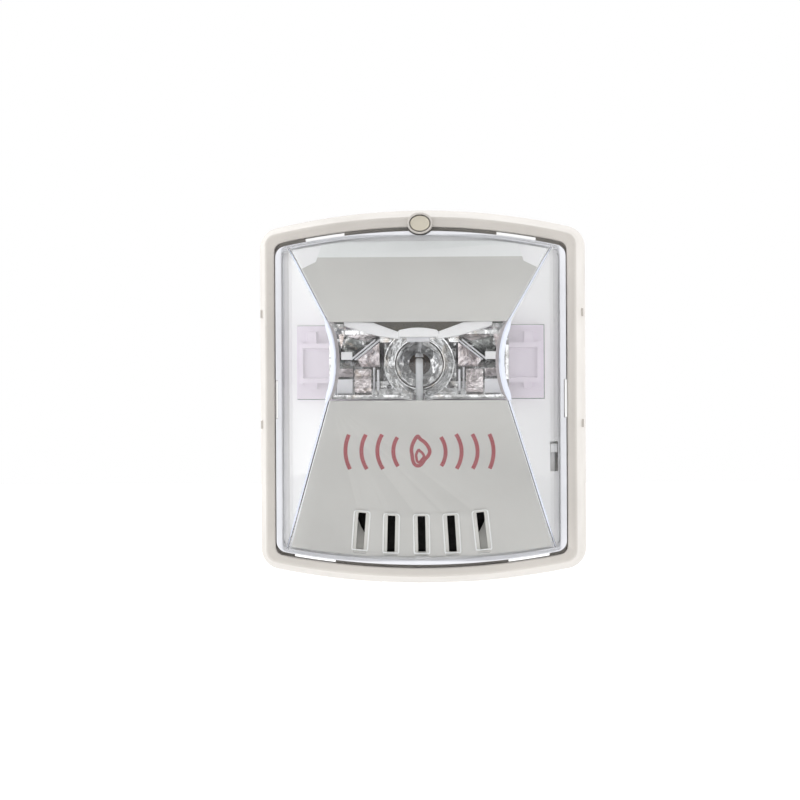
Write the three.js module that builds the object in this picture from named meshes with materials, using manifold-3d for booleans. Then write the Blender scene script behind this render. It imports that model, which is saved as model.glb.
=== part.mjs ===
// Wall-mounted horn strobe: a notification appliance with a flared housing, a one-piece clear lens
// over an hourglass panel, a xenon strobe in a metallised reflector, and a piezo horn behind five slots.
// Millimetres. +Z is up, the front faces -Y, and the wall is the plane y = 0.
// The origin is the middle of the mounting plate's rear face.
import * as THREE from 'three';
import { mergeVertices } from 'three/addons/utils/BufferGeometryUtils.js';
import Module from 'manifold-3d';

const wasm = await Module();
wasm.setup();

// ---------------------------------------------------------------- driving dimensions
const HALF_W = 58.0;          // housing at the wall: half width
const HALF_H = 66.5;          // housing at the wall: half height on the centre line
const ARC_TOP = 231;          // radius of the bowed top edge at the wall
const ARC_BOTTOM = 260;       // radius of the bowed bottom edge at the wall
const CORNER = 7.6;           // corner radius at the wall
const SKIRT_BACK = -0.8;      // the skirt stops just short of the wall
const BEZEL_FACE = -23.5;     // front face of the bezel band
const WALL = 2.0;             // housing wall
const OPEN_W = 51.1, OPEN_T = 59.4, OPEN_B = -59.9;      // lens opening in the bezel
const LEDGE_FRONT = -19.0, LEDGE_BACK = -17.4;           // groove floor that carries the lens
const LEDGE_W = 47.1, LEDGE_T = 55.4, LEDGE_B = -56.0;   // inner edge of that ledge

const LENS_W = 50.1, LENS_T = 57.6, LENS_B = -58.3;      // lens outline
const LENS_WALL = 1.7;
const LENS_BACK = -20.2;
const TOP_FOOT = [-22.6, 57.6];       // (y, z) where the top slope starts at the rim
const TOP_EDGE = [-51.0, 25.6];       // (y, z) upper edge of the window
const LOW_EDGE = [-51.0, -1.3];       // (y, z) lower edge of the window
const LOW_FOOT = [-23.0, -58.3];      // (y, z) where the bottom slope starts at the rim
const WINDOW_APEX = -56.0;            // foremost point of the curved window
const SIDE_X = 31.25, SIDE_K = 0.632; // side slope: |x| = SIDE_X + SIDE_K * (y + 51)

const PANEL_GAP = 0.45;       // lens to panel
const PANEL_T = 1.8;          // panel thickness
const FLOOR_FRONT = -21.4, FLOOR_BACK = -19.9;
const FLOOR_W = 47.4, FLOOR_T = 55.4, FLOOR_B = -56.0;

const BOSS_Z = 60.7, BOSS_A = 4.5, BOSS_B = 3.8, BOSS_FRONT = -24.4;   // screw boss (ellipse)
const SLOTS = [               // horn slots: x and z of the top and of the bottom
  [-20.4, -40.2, -21.7, -53.2],
  [-10.2, -41.3, -10.8, -54.3],
  [0.15, -41.5, 0.15, -54.5],
  [10.4, -41.3, 11.0, -54.3],
  [20.6, -40.2, 21.9, -53.2],
];
const SLOT_W = 2.7;           // slot in the panel
const LENS_SLOT_W = 4.6;      // wider slot in the lens over it

const PLATE_T = 2.4;          // mounting plate
const PLATE_W = 47.0, PLATE_H = 53.0;
const BOX_SCREW_Z = 41.65;    // half the screw spacing of a wall box
const COVER_BACK = -12.0, COVER_FRONT = -13.5;     // rear cover floor
const COVER_W = 48.2, COVER_H = 53.4, COVER_RIM = -17.1;
const PCB_BACK = -15.0, PCB_FRONT = -16.6;
const PCB_W = 46.2;
const POSTS = [[-43.6, 44], [43.6, 44], [-43.6, -44], [43.6, -44]];    // cover screws (x, z)

const HORN_Z = -35.0, HORN_R = 24.9;
const HORN_FLAT = -55.5;      // the horn cup is cut flat at the bottom
const TUBE_Y = -37.5, TUBE_R = 1.28;
const TERMINALS = [-16.5, -5.5, 5.5, 16.5];        // x of the terminals
const TERM_Z = 1.0, PIN_Z = -7.8;
const CANDELA = [45.6, -21.0];                     // (x, z) of the candela flag

// ---------------------------------------------------------------- solids and booleans
function solid(geometry) {
  let g = geometry.index ? geometry.toNonIndexed() : geometry;
  g = g.clone();
  for (const name of Object.keys(g.attributes)) if (name !== 'position') g.deleteAttribute(name);
  g = mergeVertices(g, 1e-4);
  return new wasm.Manifold(new wasm.Mesh({
    numProp: 3,
    vertProperties: new Float32Array(g.attributes.position.array),
    triVerts: new Uint32Array(g.index.array),
  }));
}
function geometryOf(manifold) {
  const mesh = manifold.getMesh();
  const g = new THREE.BufferGeometry();
  g.setAttribute('position', new THREE.BufferAttribute(new Float32Array(mesh.vertProperties), 3));
  g.setIndex(new THREE.BufferAttribute(new Uint32Array(mesh.triVerts), 1));
  g.computeVertexNormals();
  return g;
}
const join = (...parts) => parts.reduce((a, b) => a.add(b));
const cut = (a, ...parts) => parts.reduce((s, b) => s.subtract(b), a);

function boxOf(x0, x1, y0, y1, z0, z1) {
  const g = new THREE.BoxGeometry(Math.abs(x1 - x0), Math.abs(y1 - y0), Math.abs(z1 - z0));
  g.translate((x0 + x1) / 2, (y0 + y1) / 2, (z0 + z1) / 2);
  return solid(g);
}
// A cylinder along axis 'x', 'y' or 'z' between a and b, centred on (u, v) of the other two axes in order.
function rod(axis, r, a, b, u, v, seg = 20, r2 = r) {
  const lo = Math.min(a, b), hi = Math.max(a, b);
  const g = new THREE.CylinderGeometry(r2, r, hi - lo, seg);
  if (axis === 'x') { g.rotateZ(-Math.PI / 2); g.translate((lo + hi) / 2, u, v); }
  if (axis === 'y') { g.translate(u, (lo + hi) / 2, v); }
  if (axis === 'z') { g.rotateX(Math.PI / 2); g.translate(u, v, (lo + hi) / 2); }
  return solid(g);
}
function shapeOf(points, holes = []) {
  const s = new THREE.Shape(points.map(([a, b]) => new THREE.Vector2(a, b)));
  for (const h of holes) s.holes.push(new THREE.Path(h.map(([a, b]) => new THREE.Vector2(a, b))));
  return s;
}
function extruded(points, length, holes) {
  return new THREE.ExtrudeGeometry(shapeOf(points, holes), { depth: length, bevelEnabled: false, steps: 1 });
}
// An (x, z) outline swept along Y from y0 to y1.
function prismY(points, y0, y1, holes) {
  const g = extruded(points, Math.abs(y1 - y0), holes);
  g.rotateX(Math.PI / 2);
  g.translate(0, Math.max(y0, y1), 0);
  return solid(g);
}
// A (y, z) outline swept along X.
function prismX(points, x0, x1) {
  const g = extruded(points, Math.abs(x1 - x0));
  g.applyMatrix4(new THREE.Matrix4().set(0, 0, 1, Math.min(x0, x1), 1, 0, 0, 0, 0, 1, 0, 0, 0, 0, 0, 1));
  return solid(g);
}
// An (x, y) outline swept along Z.
function prismZ(points, z0, z1) {
  const g = extruded(points, Math.abs(z1 - z0));
  g.translate(0, 0, Math.min(z0, z1));
  return solid(g);
}
function ellipse(cx, cz, a, b, seg = 28) {
  return Array.from({ length: seg }, (_, i) => {
    const t = (i / seg) * 2 * Math.PI;
    return [cx + a * Math.cos(t), cz + b * Math.sin(t)];
  });
}
// A straight slot with round ends from (x0, z0) to (x1, z1), w wide.
function slotOutline(x0, z0, x1, z1, w, seg = 6) {
  const r = w / 2, t = Math.atan2(z1 - z0, x1 - x0), out = [];
  for (let i = 0; i <= seg; i++) {
    const a = t - Math.PI / 2 + (i / seg) * Math.PI;
    out.push([x1 - r * Math.cos(t) + r * Math.cos(a), z1 - r * Math.sin(t) + r * Math.sin(a)]);
  }
  for (let i = 0; i <= seg; i++) {
    const a = t + Math.PI / 2 + (i / seg) * Math.PI;
    out.push([x0 + r * Math.cos(t) + r * Math.cos(a), z0 + r * Math.sin(t) + r * Math.sin(a)]);
  }
  return out;
}
// A straight bar with square ends from (x0, z0) to (x1, z1), w wide.
function bar(x0, z0, x1, z1, w) {
  const l = Math.hypot(x1 - x0, z1 - z0), nx = (-(z1 - z0) / l) * (w / 2), nz = ((x1 - x0) / l) * (w / 2);
  return [[x0 - nx, z0 - nz], [x1 - nx, z1 - nz], [x1 + nx, z1 + nz], [x0 + nx, z0 + nz]];
}
function roundRect(x0, x1, z0, z1, r, seg = 4) {
  const out = [];
  for (const [cx, cz, a0] of [[x1 - r, z1 - r, 0], [x0 + r, z1 - r, 90], [x0 + r, z0 + r, 180], [x1 - r, z0 + r, 270]]) {
    for (let i = 0; i <= seg; i++) {
      const a = ((a0 + (i / seg) * 90) * Math.PI) / 180;
      out.push([cx + r * Math.cos(a), cz + r * Math.sin(a)]);
    }
  }
  return out;
}

// The appliance's outline in (x, z): straight sides, bowed top and bottom, round corners.
// Every outline has the same number of points in the same order, so two of them can be lofted.
function outline(w, top, bottom, rTop, rBottom, rc) {
  const ARC = 12, COR = 5, SIDE = 2, pts = [];
  const quarter = (h, R, flip) => {        // from the side's tangent point to the arc's tangent point
    const cx = w - rc, cz = h - R + Math.sqrt((R - rc) ** 2 - cx ** 2);
    const end = Math.atan2(cz - (h - R), cx), list = [];
    for (let i = 0; i <= COR; i++) {
      const a = (i / COR) * end;
      list.push([cx + rc * Math.cos(a), flip * (cz + rc * Math.sin(a))]);
    }
    return { list, end };
  };
  const t = quarter(top, rTop, 1), b = quarter(-bottom, rBottom, -1);
  pts.push(...t.list);
  for (let i = 1; i < ARC; i++) {
    const a = t.end + (i / ARC) * (Math.PI - 2 * t.end);
    pts.push([rTop * Math.cos(a), top - rTop + rTop * Math.sin(a)]);
  }
  pts.push(...[...t.list].reverse().map(([x, z]) => [-x, z]));
  const zt = t.list[0][1], zb = b.list[0][1];
  for (let i = 1; i < SIDE; i++) pts.push([-w, zt + (zb - zt) * (i / SIDE)]);
  pts.push(...b.list.map(([x, z]) => [-x, z]));
  for (let i = 1; i < ARC; i++) {
    const a = b.end + (i / ARC) * (Math.PI - 2 * b.end);
    pts.push([-rBottom * Math.cos(a), -(-bottom - rBottom + rBottom * Math.sin(a))]);
  }
  pts.push(...[...b.list].reverse());
  for (let i = 1; i < SIDE; i++) pts.push([w, zb + (zt - zb) * (i / SIDE)]);
  return pts;
}
const wallOutline = (d) => outline(HALF_W - d, HALF_H - d, -(HALF_H - d), ARC_TOP - d, ARC_BOTTOM - d, Math.max(CORNER - d, 1.5));
const openOutline = (d) => outline(OPEN_W - d, OPEN_T - d, OPEN_B + d, 226 - d, 254 - d, Math.max(3.0 - d, 1.0));
const lensOutline = (d) => outline(LENS_W - d, LENS_T - d, LENS_B + d, 224 - d, 252 - d, Math.max(3.4 - d, 1.0));

// A ring whose cross-section runs through the given sections and closes on the first one.
function loftRing(sections) {
  const n = sections[0].pts.length, m = sections.length, pos = [], idx = [];
  for (const { y, pts } of sections) for (const [x, z] of pts) pos.push(x, y, z);
  for (let s = 0; s < m; s++) {
    const a = s * n, b = ((s + 1) % m) * n;
    for (let i = 0; i < n; i++) {
      const j = (i + 1) % n;
      idx.push(a + i, a + j, b + j, a + i, b + j, b + i);
    }
  }
  const g = new THREE.BufferGeometry();
  g.setAttribute('position', new THREE.Float32BufferAttribute(pos, 3));
  let volume = 0;
  const v = (k) => new THREE.Vector3(pos[3 * k], pos[3 * k + 1], pos[3 * k + 2]);
  for (let k = 0; k < idx.length; k += 3) volume += v(idx[k]).dot(v(idx[k + 1]).cross(v(idx[k + 2])));
  if (volume < 0) for (let k = 0; k < idx.length; k += 3) [idx[k + 1], idx[k + 2]] = [idx[k + 2], idx[k + 1]];
  g.setIndex(idx);
  return solid(g);
}

// A disc on the horn's axis, cut flat at the bottom, d above the cup's own flat.
function hornDisc(r, y0, y1, d) {
  return rod('y', r, y0, y1, 0, HORN_Z, 40).intersect(boxOf(-40, 40, -30, -5, HORN_FLAT + d, 10));
}

// ---------------------------------------------------------------- the lens form
// The front is bounded by a top slope, a horizontal-axis curved window, a bottom slope and two side
// slopes. frontProfile(o) is its (y, z) section and sideProfile(o) its (x, y) section, both moved in by o.
const SAG = LOW_EDGE[0] - WINDOW_APEX, CHORD = (TOP_EDGE[1] - LOW_EDGE[1]) / 2;
const WINDOW_R = (CHORD ** 2 + SAG ** 2) / (2 * SAG);
const WINDOW_C = [WINDOW_APEX + WINDOW_R, (TOP_EDGE[1] + LOW_EDGE[1]) / 2];
function frontProfile(o, back = -10, seg = 10) {
  const line = (p, q, inward) => {         // the line p-q moved by o towards the inside
    const dy = q[0] - p[0], dz = q[1] - p[1], l = Math.hypot(dy, dz);
    const n = [inward * dz / l, -inward * dy / l];
    return { p: [p[0] + n[0] * o, p[1] + n[1] * o], d: [dy / l, dz / l] };
  };
  const top = line(TOP_FOOT, TOP_EDGE, -1), low = line(LOW_EDGE, LOW_FOOT, -1);
  const R = WINDOW_R - o, c = WINDOW_C;
  const hit = (l, sign) => {               // where the moved line meets the moved window arc
    const f = [l.p[0] - c[0], l.p[1] - c[1]], b = f[0] * l.d[0] + f[1] * l.d[1];
    const q = f[0] ** 2 + f[1] ** 2 - R * R, t = -b + sign * Math.sqrt(Math.max(b * b - q, 0));
    return [l.p[0] + l.d[0] * t, l.p[1] + l.d[1] * t];
  };
  const far = (l, t) => [l.p[0] + l.d[0] * t, l.p[1] + l.d[1] * t];
  const a = hit(top, -1), b = hit(low, 1);
  const pts = [far(top, -14), a];
  const t0 = Math.atan2(a[1] - c[1], a[0] - c[0]);
  let t1 = Math.atan2(b[1] - c[1], b[0] - c[0]);
  if (t1 < 0) t1 += 2 * Math.PI;
  for (let i = 1; i < seg; i++) {
    const t = t0 + ((t1 - t0) * i) / seg;
    pts.push([c[0] + R * Math.cos(t), c[1] + R * Math.sin(t)]);
  }
  pts.push(b, far(low, Math.hypot(LOW_FOOT[0] - LOW_EDGE[0], LOW_FOOT[1] - LOW_EDGE[1]) + 14));
  pts.push([back, pts[pts.length - 1][1]], [back, pts[0][1]]);
  return pts;
}
function sideProfile(o, back = -10) {
  const k = Math.sqrt(1 + SIDE_K ** 2) * o;
  const x = (y) => SIDE_X - k + SIDE_K * (y + 51);
  return [[x(back), back], [-x(back), back], [-x(-60), -60], [x(-60), -60]];
}
const frontForm = (o, back = -10) => prismX(frontProfile(o, back), -70, 70).intersect(prismZ(sideProfile(o, back), -75, 75));

// ---------------------------------------------------------------- the scene graph
const root = new THREE.Group();
root.name = 'horn_strobe';
const FINISH = {
  housing: { color: 0xcdc9c2, roughness: 0.48, metalness: 0 },
  panel: { color: 0xcbc8c3, roughness: 0.5, metalness: 0 },
  lens: { color: 0xf2f4f8, roughness: 0.05, metalness: 0, transparent: true, opacity: 0.3 },
  chrome: { color: 0xe8e8ea, roughness: 0.08, metalness: 1 },
  glass: { color: 0xdfe2e4, roughness: 0.25, metalness: 0 },
  steel: { color: 0xb8b8b8, roughness: 0.35, metalness: 1 },
  brass: { color: 0xc9a86a, roughness: 0.35, metalness: 1 },
  black: { color: 0x2b2829, roughness: 0.6, metalness: 0 },
  rubber: { color: 0xb9bdb8, roughness: 0.8, metalness: 0 },
  board: { color: 0x2f6b44, roughness: 0.5, metalness: 0 },
  plate: { color: 0xd8d6d0, roughness: 0.55, metalness: 0 },
  cover: { color: 0xdedcd6, roughness: 0.55, metalness: 0 },
  blue: { color: 0x2c3c66, roughness: 0.4, metalness: 0 },
  copper: { color: 0xb06a3a, roughness: 0.35, metalness: 1 },
  red: { color: 0xb8343c, roughness: 0.5, metalness: 0 },
  cap: { color: 0xcbc6b8, roughness: 0.5, metalness: 0 },
};
function add(group, name, manifold, finish) {
  const mesh = new THREE.Mesh(geometryOf(manifold), new THREE.MeshStandardMaterial(FINISH[finish]));
  mesh.name = name;
  group.add(mesh);
  return mesh;
}
const wallSide = new THREE.Group();    // stays on the wall
const unit = new THREE.Group();        // the appliance that hooks onto it
root.add(wallSide, unit);

// ---------------------------------------------------------------- front housing
{
  const draft = (y) => (3.1 * (SKIRT_BACK - y)) / (SKIRT_BACK + 20.3);
  const s = (y, pts) => ({ y, pts });
  let body = loftRing([
    s(SKIRT_BACK, wallOutline(0)),
    s(-10, wallOutline(draft(-10))),
    s(-20.3, wallOutline(draft(-20.3))),
    s(-22.0, wallOutline(3.45)),
    s(-23.1, wallOutline(4.3)),
    s(BEZEL_FACE, wallOutline(5.4)),
    s(BEZEL_FACE, openOutline(-0.6)),
    s(-23.2, openOutline(-0.15)),
    s(-22.6, openOutline(0)),
    s(LEDGE_FRONT, openOutline(0)),
    s(LEDGE_FRONT, outline(LEDGE_W, LEDGE_T, LEDGE_B, 222, 250, 2.0)),
    s(LEDGE_BACK, outline(LEDGE_W, LEDGE_T, LEDGE_B, 222, 250, 2.0)),
    s(LEDGE_BACK, wallOutline(draft(LEDGE_BACK) + WALL)),
    s(SKIRT_BACK, wallOutline(WALL + 0.1)),
  ]);
  // screw boss at the top centre, a column that merges with the top wall
  body = body.add(prismY(ellipse(0, BOSS_Z, BOSS_A, BOSS_B, 32), BOSS_FRONT, -10.6));
  body = cut(body,
    prismY(ellipse(0, BOSS_Z, 3.75, 3.05, 32), -30, -22.4),
    rod('y', 2.95, -24, -12.2, 0, BOSS_Z, 24),
    rod('y', 2.15, -13, -5, 0, BOSS_Z, 20),
    rod('y', 3.5, -10.6, -4.0, 0, BOSS_Z, 20));
  // six see-through slits in the floor of the groove
  const band = (x0, x1, z0, sag, w, sign) => {
    const up = [], dn = [];
    for (let i = 0; i <= 4; i++) {
      const x = x0 + ((x1 - x0) * i) / 4, z = z0 - (x * x) / (2 * sag);
      up.push([sign * x, z + w / 2]);
      dn.push([sign * x, z - w / 2]);
    }
    return [...up, ...dn.reverse()];
  };
  for (const sign of [-1, 1]) {
    const flip = (pts) => (sign < 0 ? pts : [...pts].reverse());
    body = cut(body, prismY(flip(band(26.7, 40.4, 58.5, 226, 1.7, sign)), -22, -16));
    body = cut(body, prismY(flip(band(30.4, 44.7, 59.1, 254, 1.5, sign).map(([x, z]) => [x, -z])), -22, -16));
    body = cut(body, boxOf(sign * 49.6, sign * 51.1, -22, -16, -7.3, 5.9));
  }
  // notch behind the candela flag, and the pry notch under the bottom edge
  body = cut(body, boxOf(43, 48.6, -22, -16, -27.5, -14.5), boxOf(-14.8, 14.8, -2.0, 0.5, -70, -63));
  // bottom rib that the mounting plate's tab holds, on the inside of the bottom wall
  body = body.add(boxOf(-13, 13, -3.1, -2.0, -65.2, -61.9));
  // side latch nibs
  for (const sign of [-1, 1]) for (const z of [29.6, -9.6]) {
    body = body.add(boxOf(sign * 55.0, sign * 57.2, -10.5, -6.5, z - 1.4, z + 1.4));
  }
  add(unit, 'front_housing', body, 'housing');
}

// ---------------------------------------------------------------- clear lens
{
  const outer = prismY(lensOutline(0), -62, LENS_BACK).intersect(frontForm(0));
  const inner = prismY(lensOutline(LENS_WALL), -62, LENS_BACK + 1).intersect(frontForm(LENS_WALL));
  let lens = cut(outer, inner, prismY(ellipse(0, BOSS_Z, BOSS_A + 0.4, BOSS_B + 0.4, 32), -40, -10));
  for (const [x0, z0, x1, z1] of SLOTS) {
    lens = cut(lens, prismY(bar(x0, z0 + 0.6, x1, z1 - 1.2, LENS_SLOT_W), -45, -15));
  }
  add(unit, 'clear_lens', lens, 'lens');
}

// ---------------------------------------------------------------- hourglass panel
const hourglass = (d) => [
  [46.6 - d, 54.0 - d], [-46.6 + d, 54.0 - d], [-30.5 + d, 25.2], [-30.5 + d, -0.9],
  [-46.6 + d, -55.4 + d], [46.6 - d, -55.4 + d], [30.5 - d, -0.9], [30.5 - d, 25.2],
];
{
  const o = LENS_WALL + PANEL_GAP;
  const skin = frontForm(o, -10);
  const tower = prismY(hourglass(0), -60, FLOOR_FRONT + 0.4).intersect(skin).intersect(prismY(lensOutline(o), -60, -15));
  let hollow = prismY(hourglass(1.6), -60, -15).intersect(prismX(frontProfile(o + PANEL_T), -70, 70))
    .intersect(prismY(lensOutline(o + 1.6), -60, -14));
  // below the window the floor stays as a baffle, open only in front of the horn
  hollow = cut(hollow, boxOf(-60, 60, FLOOR_FRONT, -10, -60, -7.0)).add(hornDisc(HORN_R - 1.3, FLOOR_FRONT - 0.2, -18, 1.3));
  const rim = prismY(outline(FLOOR_W, FLOOR_T, FLOOR_B, 221, 249, 2.0), FLOOR_FRONT, FLOOR_BACK);
  let panel = join(tower, rim);
  panel = cut(panel, hollow);
  // the window: both towers stop above and below it, and the reflector's wings pass through the floor
  panel = cut(panel, boxOf(-42.5, 42.5, -60, -15, -0.9, 25.2));
  for (const [x0, z0, x1, z1] of SLOTS) panel = cut(panel, prismY(bar(x0, z0, x1, z1, SLOT_W), -50, FLOOR_FRONT - 0.05));
  panel = cut(panel, prismY(ellipse(0, BOSS_Z, BOSS_A + 0.9, BOSS_B + 0.9, 32), -40, -10));
  // posts for the cover screws, and the window of the candela flag
  for (const [x, z] of POSTS) panel = panel.add(rod('y', 2.3, FLOOR_BACK - 0.5, -17.0, x, z, 16));
  for (const [x, z] of POSTS) panel = cut(panel, rod('y', 1.5, -20.4, -16, x, z, 12));
  panel = cut(panel, boxOf(CANDELA[0] - 1.7, CANDELA[0] + 1.7, -24, -18, CANDELA[1] - 5.2, CANDELA[1] + 5.2));
  add(unit, 'hourglass_panel', panel, 'panel');
}

// ---------------------------------------------------------------- lens gasket
{
  const ring = loftRing([
    { y: -19.3, pts: lensOutline(0.6) }, { y: -19.9, pts: lensOutline(0.6) },
    { y: -19.9, pts: lensOutline(1.5) }, { y: -19.3, pts: lensOutline(1.5) },
  ]);
  add(unit, 'lens_gasket', cut(ring, prismY(ellipse(0, BOSS_Z, BOSS_A + 0.5, BOSS_B + 0.5, 24), -40, -10)), 'rubber');
}

// ---------------------------------------------------------------- strobe reflector, tube and leads
{
  const trough = prismX([
    [-48.6, 24.6], [-26.0, 18.0], [-26.0, 5.6], [-48.6, -0.2],
    [-48.6, 1.2], [-27.4, 6.6], [-27.4, 17.0], [-48.6, 23.2],
  ], -41.2, 41.2);
  const plan = prismZ([[-29.5, -48.7], [-41.1, -30.4], [-41.1, -20], [41.1, -20], [41.1, -30.4], [29.5, -48.7]].reverse(), -5, 30);
  const ball = (r) => { const g = new THREE.SphereGeometry(r, 28, 18); g.rotateX(Math.PI / 2); g.translate(0, -34.2, 11.2); return solid(g); };
  const backHalf = boxOf(-20, 20, -34.2, -10, -3.0, 25);
  let reflector = trough.intersect(plan);
  reflector = cut(reflector, ball(12.0));
  reflector = reflector.add(cut(ball(12.6), ball(11.4)).intersect(backHalf));
  // end webs hold the two slopes together, with a light opening in each
  for (const s of [-1, 1]) {
    reflector = reflector.add(boxOf(s * 39.9, s * 41.1, -30.2, -26.5, 4.6, 19.0));
  }
  reflector = cut(reflector, rod('y', 3.75, -30, -18, 0, 12.4, 24), rod('z', 2.2, -3, 9, 0, TUBE_Y, 20),
    boxOf(-50, 50, -60, -10, -5, -0.25));
  add(unit, 'strobe_reflector', reflector, 'chrome');

  add(unit, 'flash_tube', rod('z', TUBE_R, -3.6, 13.4, 0, TUBE_Y, 20), 'glass');
  add(unit, 'tube_grommet', cut(rod('z', 3.0, -6.2, -0.7, 0, TUBE_Y, 20), rod('z', TUBE_R + 0.3, -4.0, 0, 0, TUBE_Y, 20)), 'rubber');
  add(unit, 'electrode_cap', rod('z', 1.5, 13.7, 15.0, 0, TUBE_Y, 20, 1.1), 'steel');
  // the lead arches from the cap back through the hole of the bowl
  const path = new THREE.CatmullRomCurve3([
    new THREE.Vector3(0, TUBE_Y, 15.35), new THREE.Vector3(0, TUBE_Y + 1.6, 16.6), new THREE.Vector3(0, TUBE_Y + 5, 15.6),
    new THREE.Vector3(0, TUBE_Y + 9.5, 13.2), new THREE.Vector3(0, TUBE_Y + 14, 12.4), new THREE.Vector3(0, -17.2, 12.4),
  ]);
  const ring8 = Array.from({ length: 8 }, (_, i) => [0.42 * Math.cos((i / 8) * 2 * Math.PI), 0.42 * Math.sin((i / 8) * 2 * Math.PI)]);
  add(unit, 'electrode_lead', solid(new THREE.ExtrudeGeometry(shapeOf(ring8), { steps: 16, bevelEnabled: false, extrudePath: path })), 'steel');
}

// ---------------------------------------------------------------- horn
{
  const cup = cut(hornDisc(HORN_R, -13.9, -19.5, 0), hornDisc(HORN_R - 1.3, -15.2, -21, 1.3));
  const seat = cut(hornDisc(HORN_R - 1.0, -15.0, -16.2, 1.0), rod('y', 16.0, -14, -18, 0, HORN_Z, 36));
  add(unit, 'horn_cup', join(cup, seat), 'black');
  add(unit, 'piezo_disc', rod('y', 18.5, -16.5, -16.9, 0, HORN_Z, 36), 'brass');
  add(unit, 'horn_screen', hornDisc(HORN_R - 1.6, -18.3, -18.9, 1.6), 'black');
}

// ---------------------------------------------------------------- circuit board and what it carries
{
  let board = prismY([
    [-PCB_W, 50.5], [-PCB_W, -49], [-25.6, -49], [-25.6, -9.6], [25.6, -9.6], [25.6, -49], [PCB_W, -49], [PCB_W, 50.5],
  ].reverse(), PCB_BACK, PCB_FRONT);
  for (const [x, z] of POSTS) board = cut(board, rod('y', 1.6, -18, -12, x, z, 12));
  add(unit, 'circuit_board', board, 'board');

  add(unit, 'storage_capacitor', rod('x', 7.4, -28.6, 4.0, -25.3, 34.6, 28), 'blue');
  add(unit, 'inductor_core', cut(join(
    boxOf(8.5, 26.5, -17.0, -28.5, 28.5, 41.5)),
    boxOf(11.5, 23.5, -40, -10, 31.0, 39.0)).add(boxOf(15.5, 19.5, -17.0, -28.5, 30.5, 39.5)), 'black');
  {
    const winding = cut(boxOf(12.0, 23.0, -18.4, -27.4, 31.5, 38.5), boxOf(15.1, 19.9, -40, -10, 20, 50));
    const parts = winding.decompose().sort((a, b) => a.boundingBox().min[0] - b.boundingBox().min[0]);
    add(unit, 'inductor_winding_left', parts[0], 'copper');
    add(unit, 'inductor_winding_right', parts[1], 'copper');
  }
  add(unit, 'trigger_coil', rod('x', 3.5, -30, -17, -21.0, 11.3, 20), 'black');
  add(unit, 'controller_chip', boxOf(18, 26, -16.9, -18.2, 7.5, 15.5), 'black');

  // pin header towards the mounting plate, one bar with four pins through it
  let header = boxOf(-20, 20, -14.7, -13.9, PIN_Z - 1.9, PIN_Z + 1.9);
  for (const x of TERMINALS) header = cut(header, boxOf(x - 0.75, x + 0.75, -20, -10, PIN_Z - 0.75, PIN_Z + 0.75));
  add(unit, 'pin_header', header, 'black');
  TERMINALS.forEach((x, i) => add(unit, `contact_pin_${i + 1}`, boxOf(x - 0.45, x + 0.45, -14.7, -7.6, PIN_Z - 0.45, PIN_Z + 0.45), 'brass'));

  // selector switches, soldered to the board's rear face; the candela flag looks out at the front
  const switchAt = (name, x, z, finish) => {
    add(unit, `${name}_switch`, cut(boxOf(x - 5.4, x + 5.4, -14.7, -12.5, z - 2.4, z + 2.4), boxOf(x - 3.6, x + 3.6, -13.4, -11, z - 1.3, z + 1.3)), 'black');
    add(unit, `${name}_slider`, boxOf(x - 2.7, x - 0.5, -13.1, -10.4, z - 1.0, z + 1.0), finish);
  };
  switchAt('tone', -22, 40, 'red');
  switchAt('volume', 22, 40, 'plate');
  const [cx, cz] = CANDELA;
  add(unit, 'candela_switch', boxOf(cx - 3.6, cx + 0.4, -16.9, -18.9, cz - 5.5, cz + 5.5), 'black');
  add(unit, 'candela_slider', boxOf(cx - 1.2, cx + 1.2, -19.2, -21.2, cz + 1.4, cz + 4.4), 'red');
}

// ---------------------------------------------------------------- rear cover and its screws
{
  // the tray bulges at the bottom to clear the horn cup
  let cover = join(prismY(roundRect(-COVER_W, COVER_W, -COVER_H, COVER_H, 4), COVER_BACK, COVER_RIM),
    hornDisc(HORN_R + 2.0, COVER_BACK, COVER_RIM, -1.6));
  cover = cut(cover, prismY(roundRect(-COVER_W + 1.5, COVER_W - 1.5, -COVER_H + 1.5, COVER_H - 1.5, 2.5), COVER_FRONT, -20),
    hornDisc(HORN_R + 0.6, COVER_FRONT, -20, -0.4));
  cover = cut(cover, boxOf(-21.4, 21.4, -16, -10, PIN_Z - 3.2, PIN_Z + 3.2));
  for (const x of [-22, 22]) cover = cut(cover, boxOf(x - 5.9, x + 5.9, -16, -10, 36.9, 43.1));
  for (const [x, z] of POSTS) cover = cut(cover.add(rod('y', 2.9, COVER_FRONT + 0.4, -14.7, x, z, 16)), rod('y', 1.6, -16, -10, x, z, 12));
  // stiffening ribs on the rear face
  for (const z of [24, -30]) cover = cover.add(boxOf(-36, 36, -11.2, COVER_BACK - 0.4, z - 0.8, z + 0.8));
  add(unit, 'rear_cover', cover, 'cover');
  POSTS.forEach(([x, z], i) => {
    const head = cut(rod('y', 2.6, -10.0, -11.7, x, z, 18), boxOf(x - 1.7, x + 1.7, -10.6, -9, z - 0.35, z + 0.35),
      boxOf(x - 0.35, x + 0.35, -10.6, -9, z - 1.7, z + 1.7));
    add(unit, `cover_screw_${i + 1}`, head.add(rod('y', 1.15, -11.6, -19.0, x, z, 12)), 'steel');
  });
}

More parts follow.
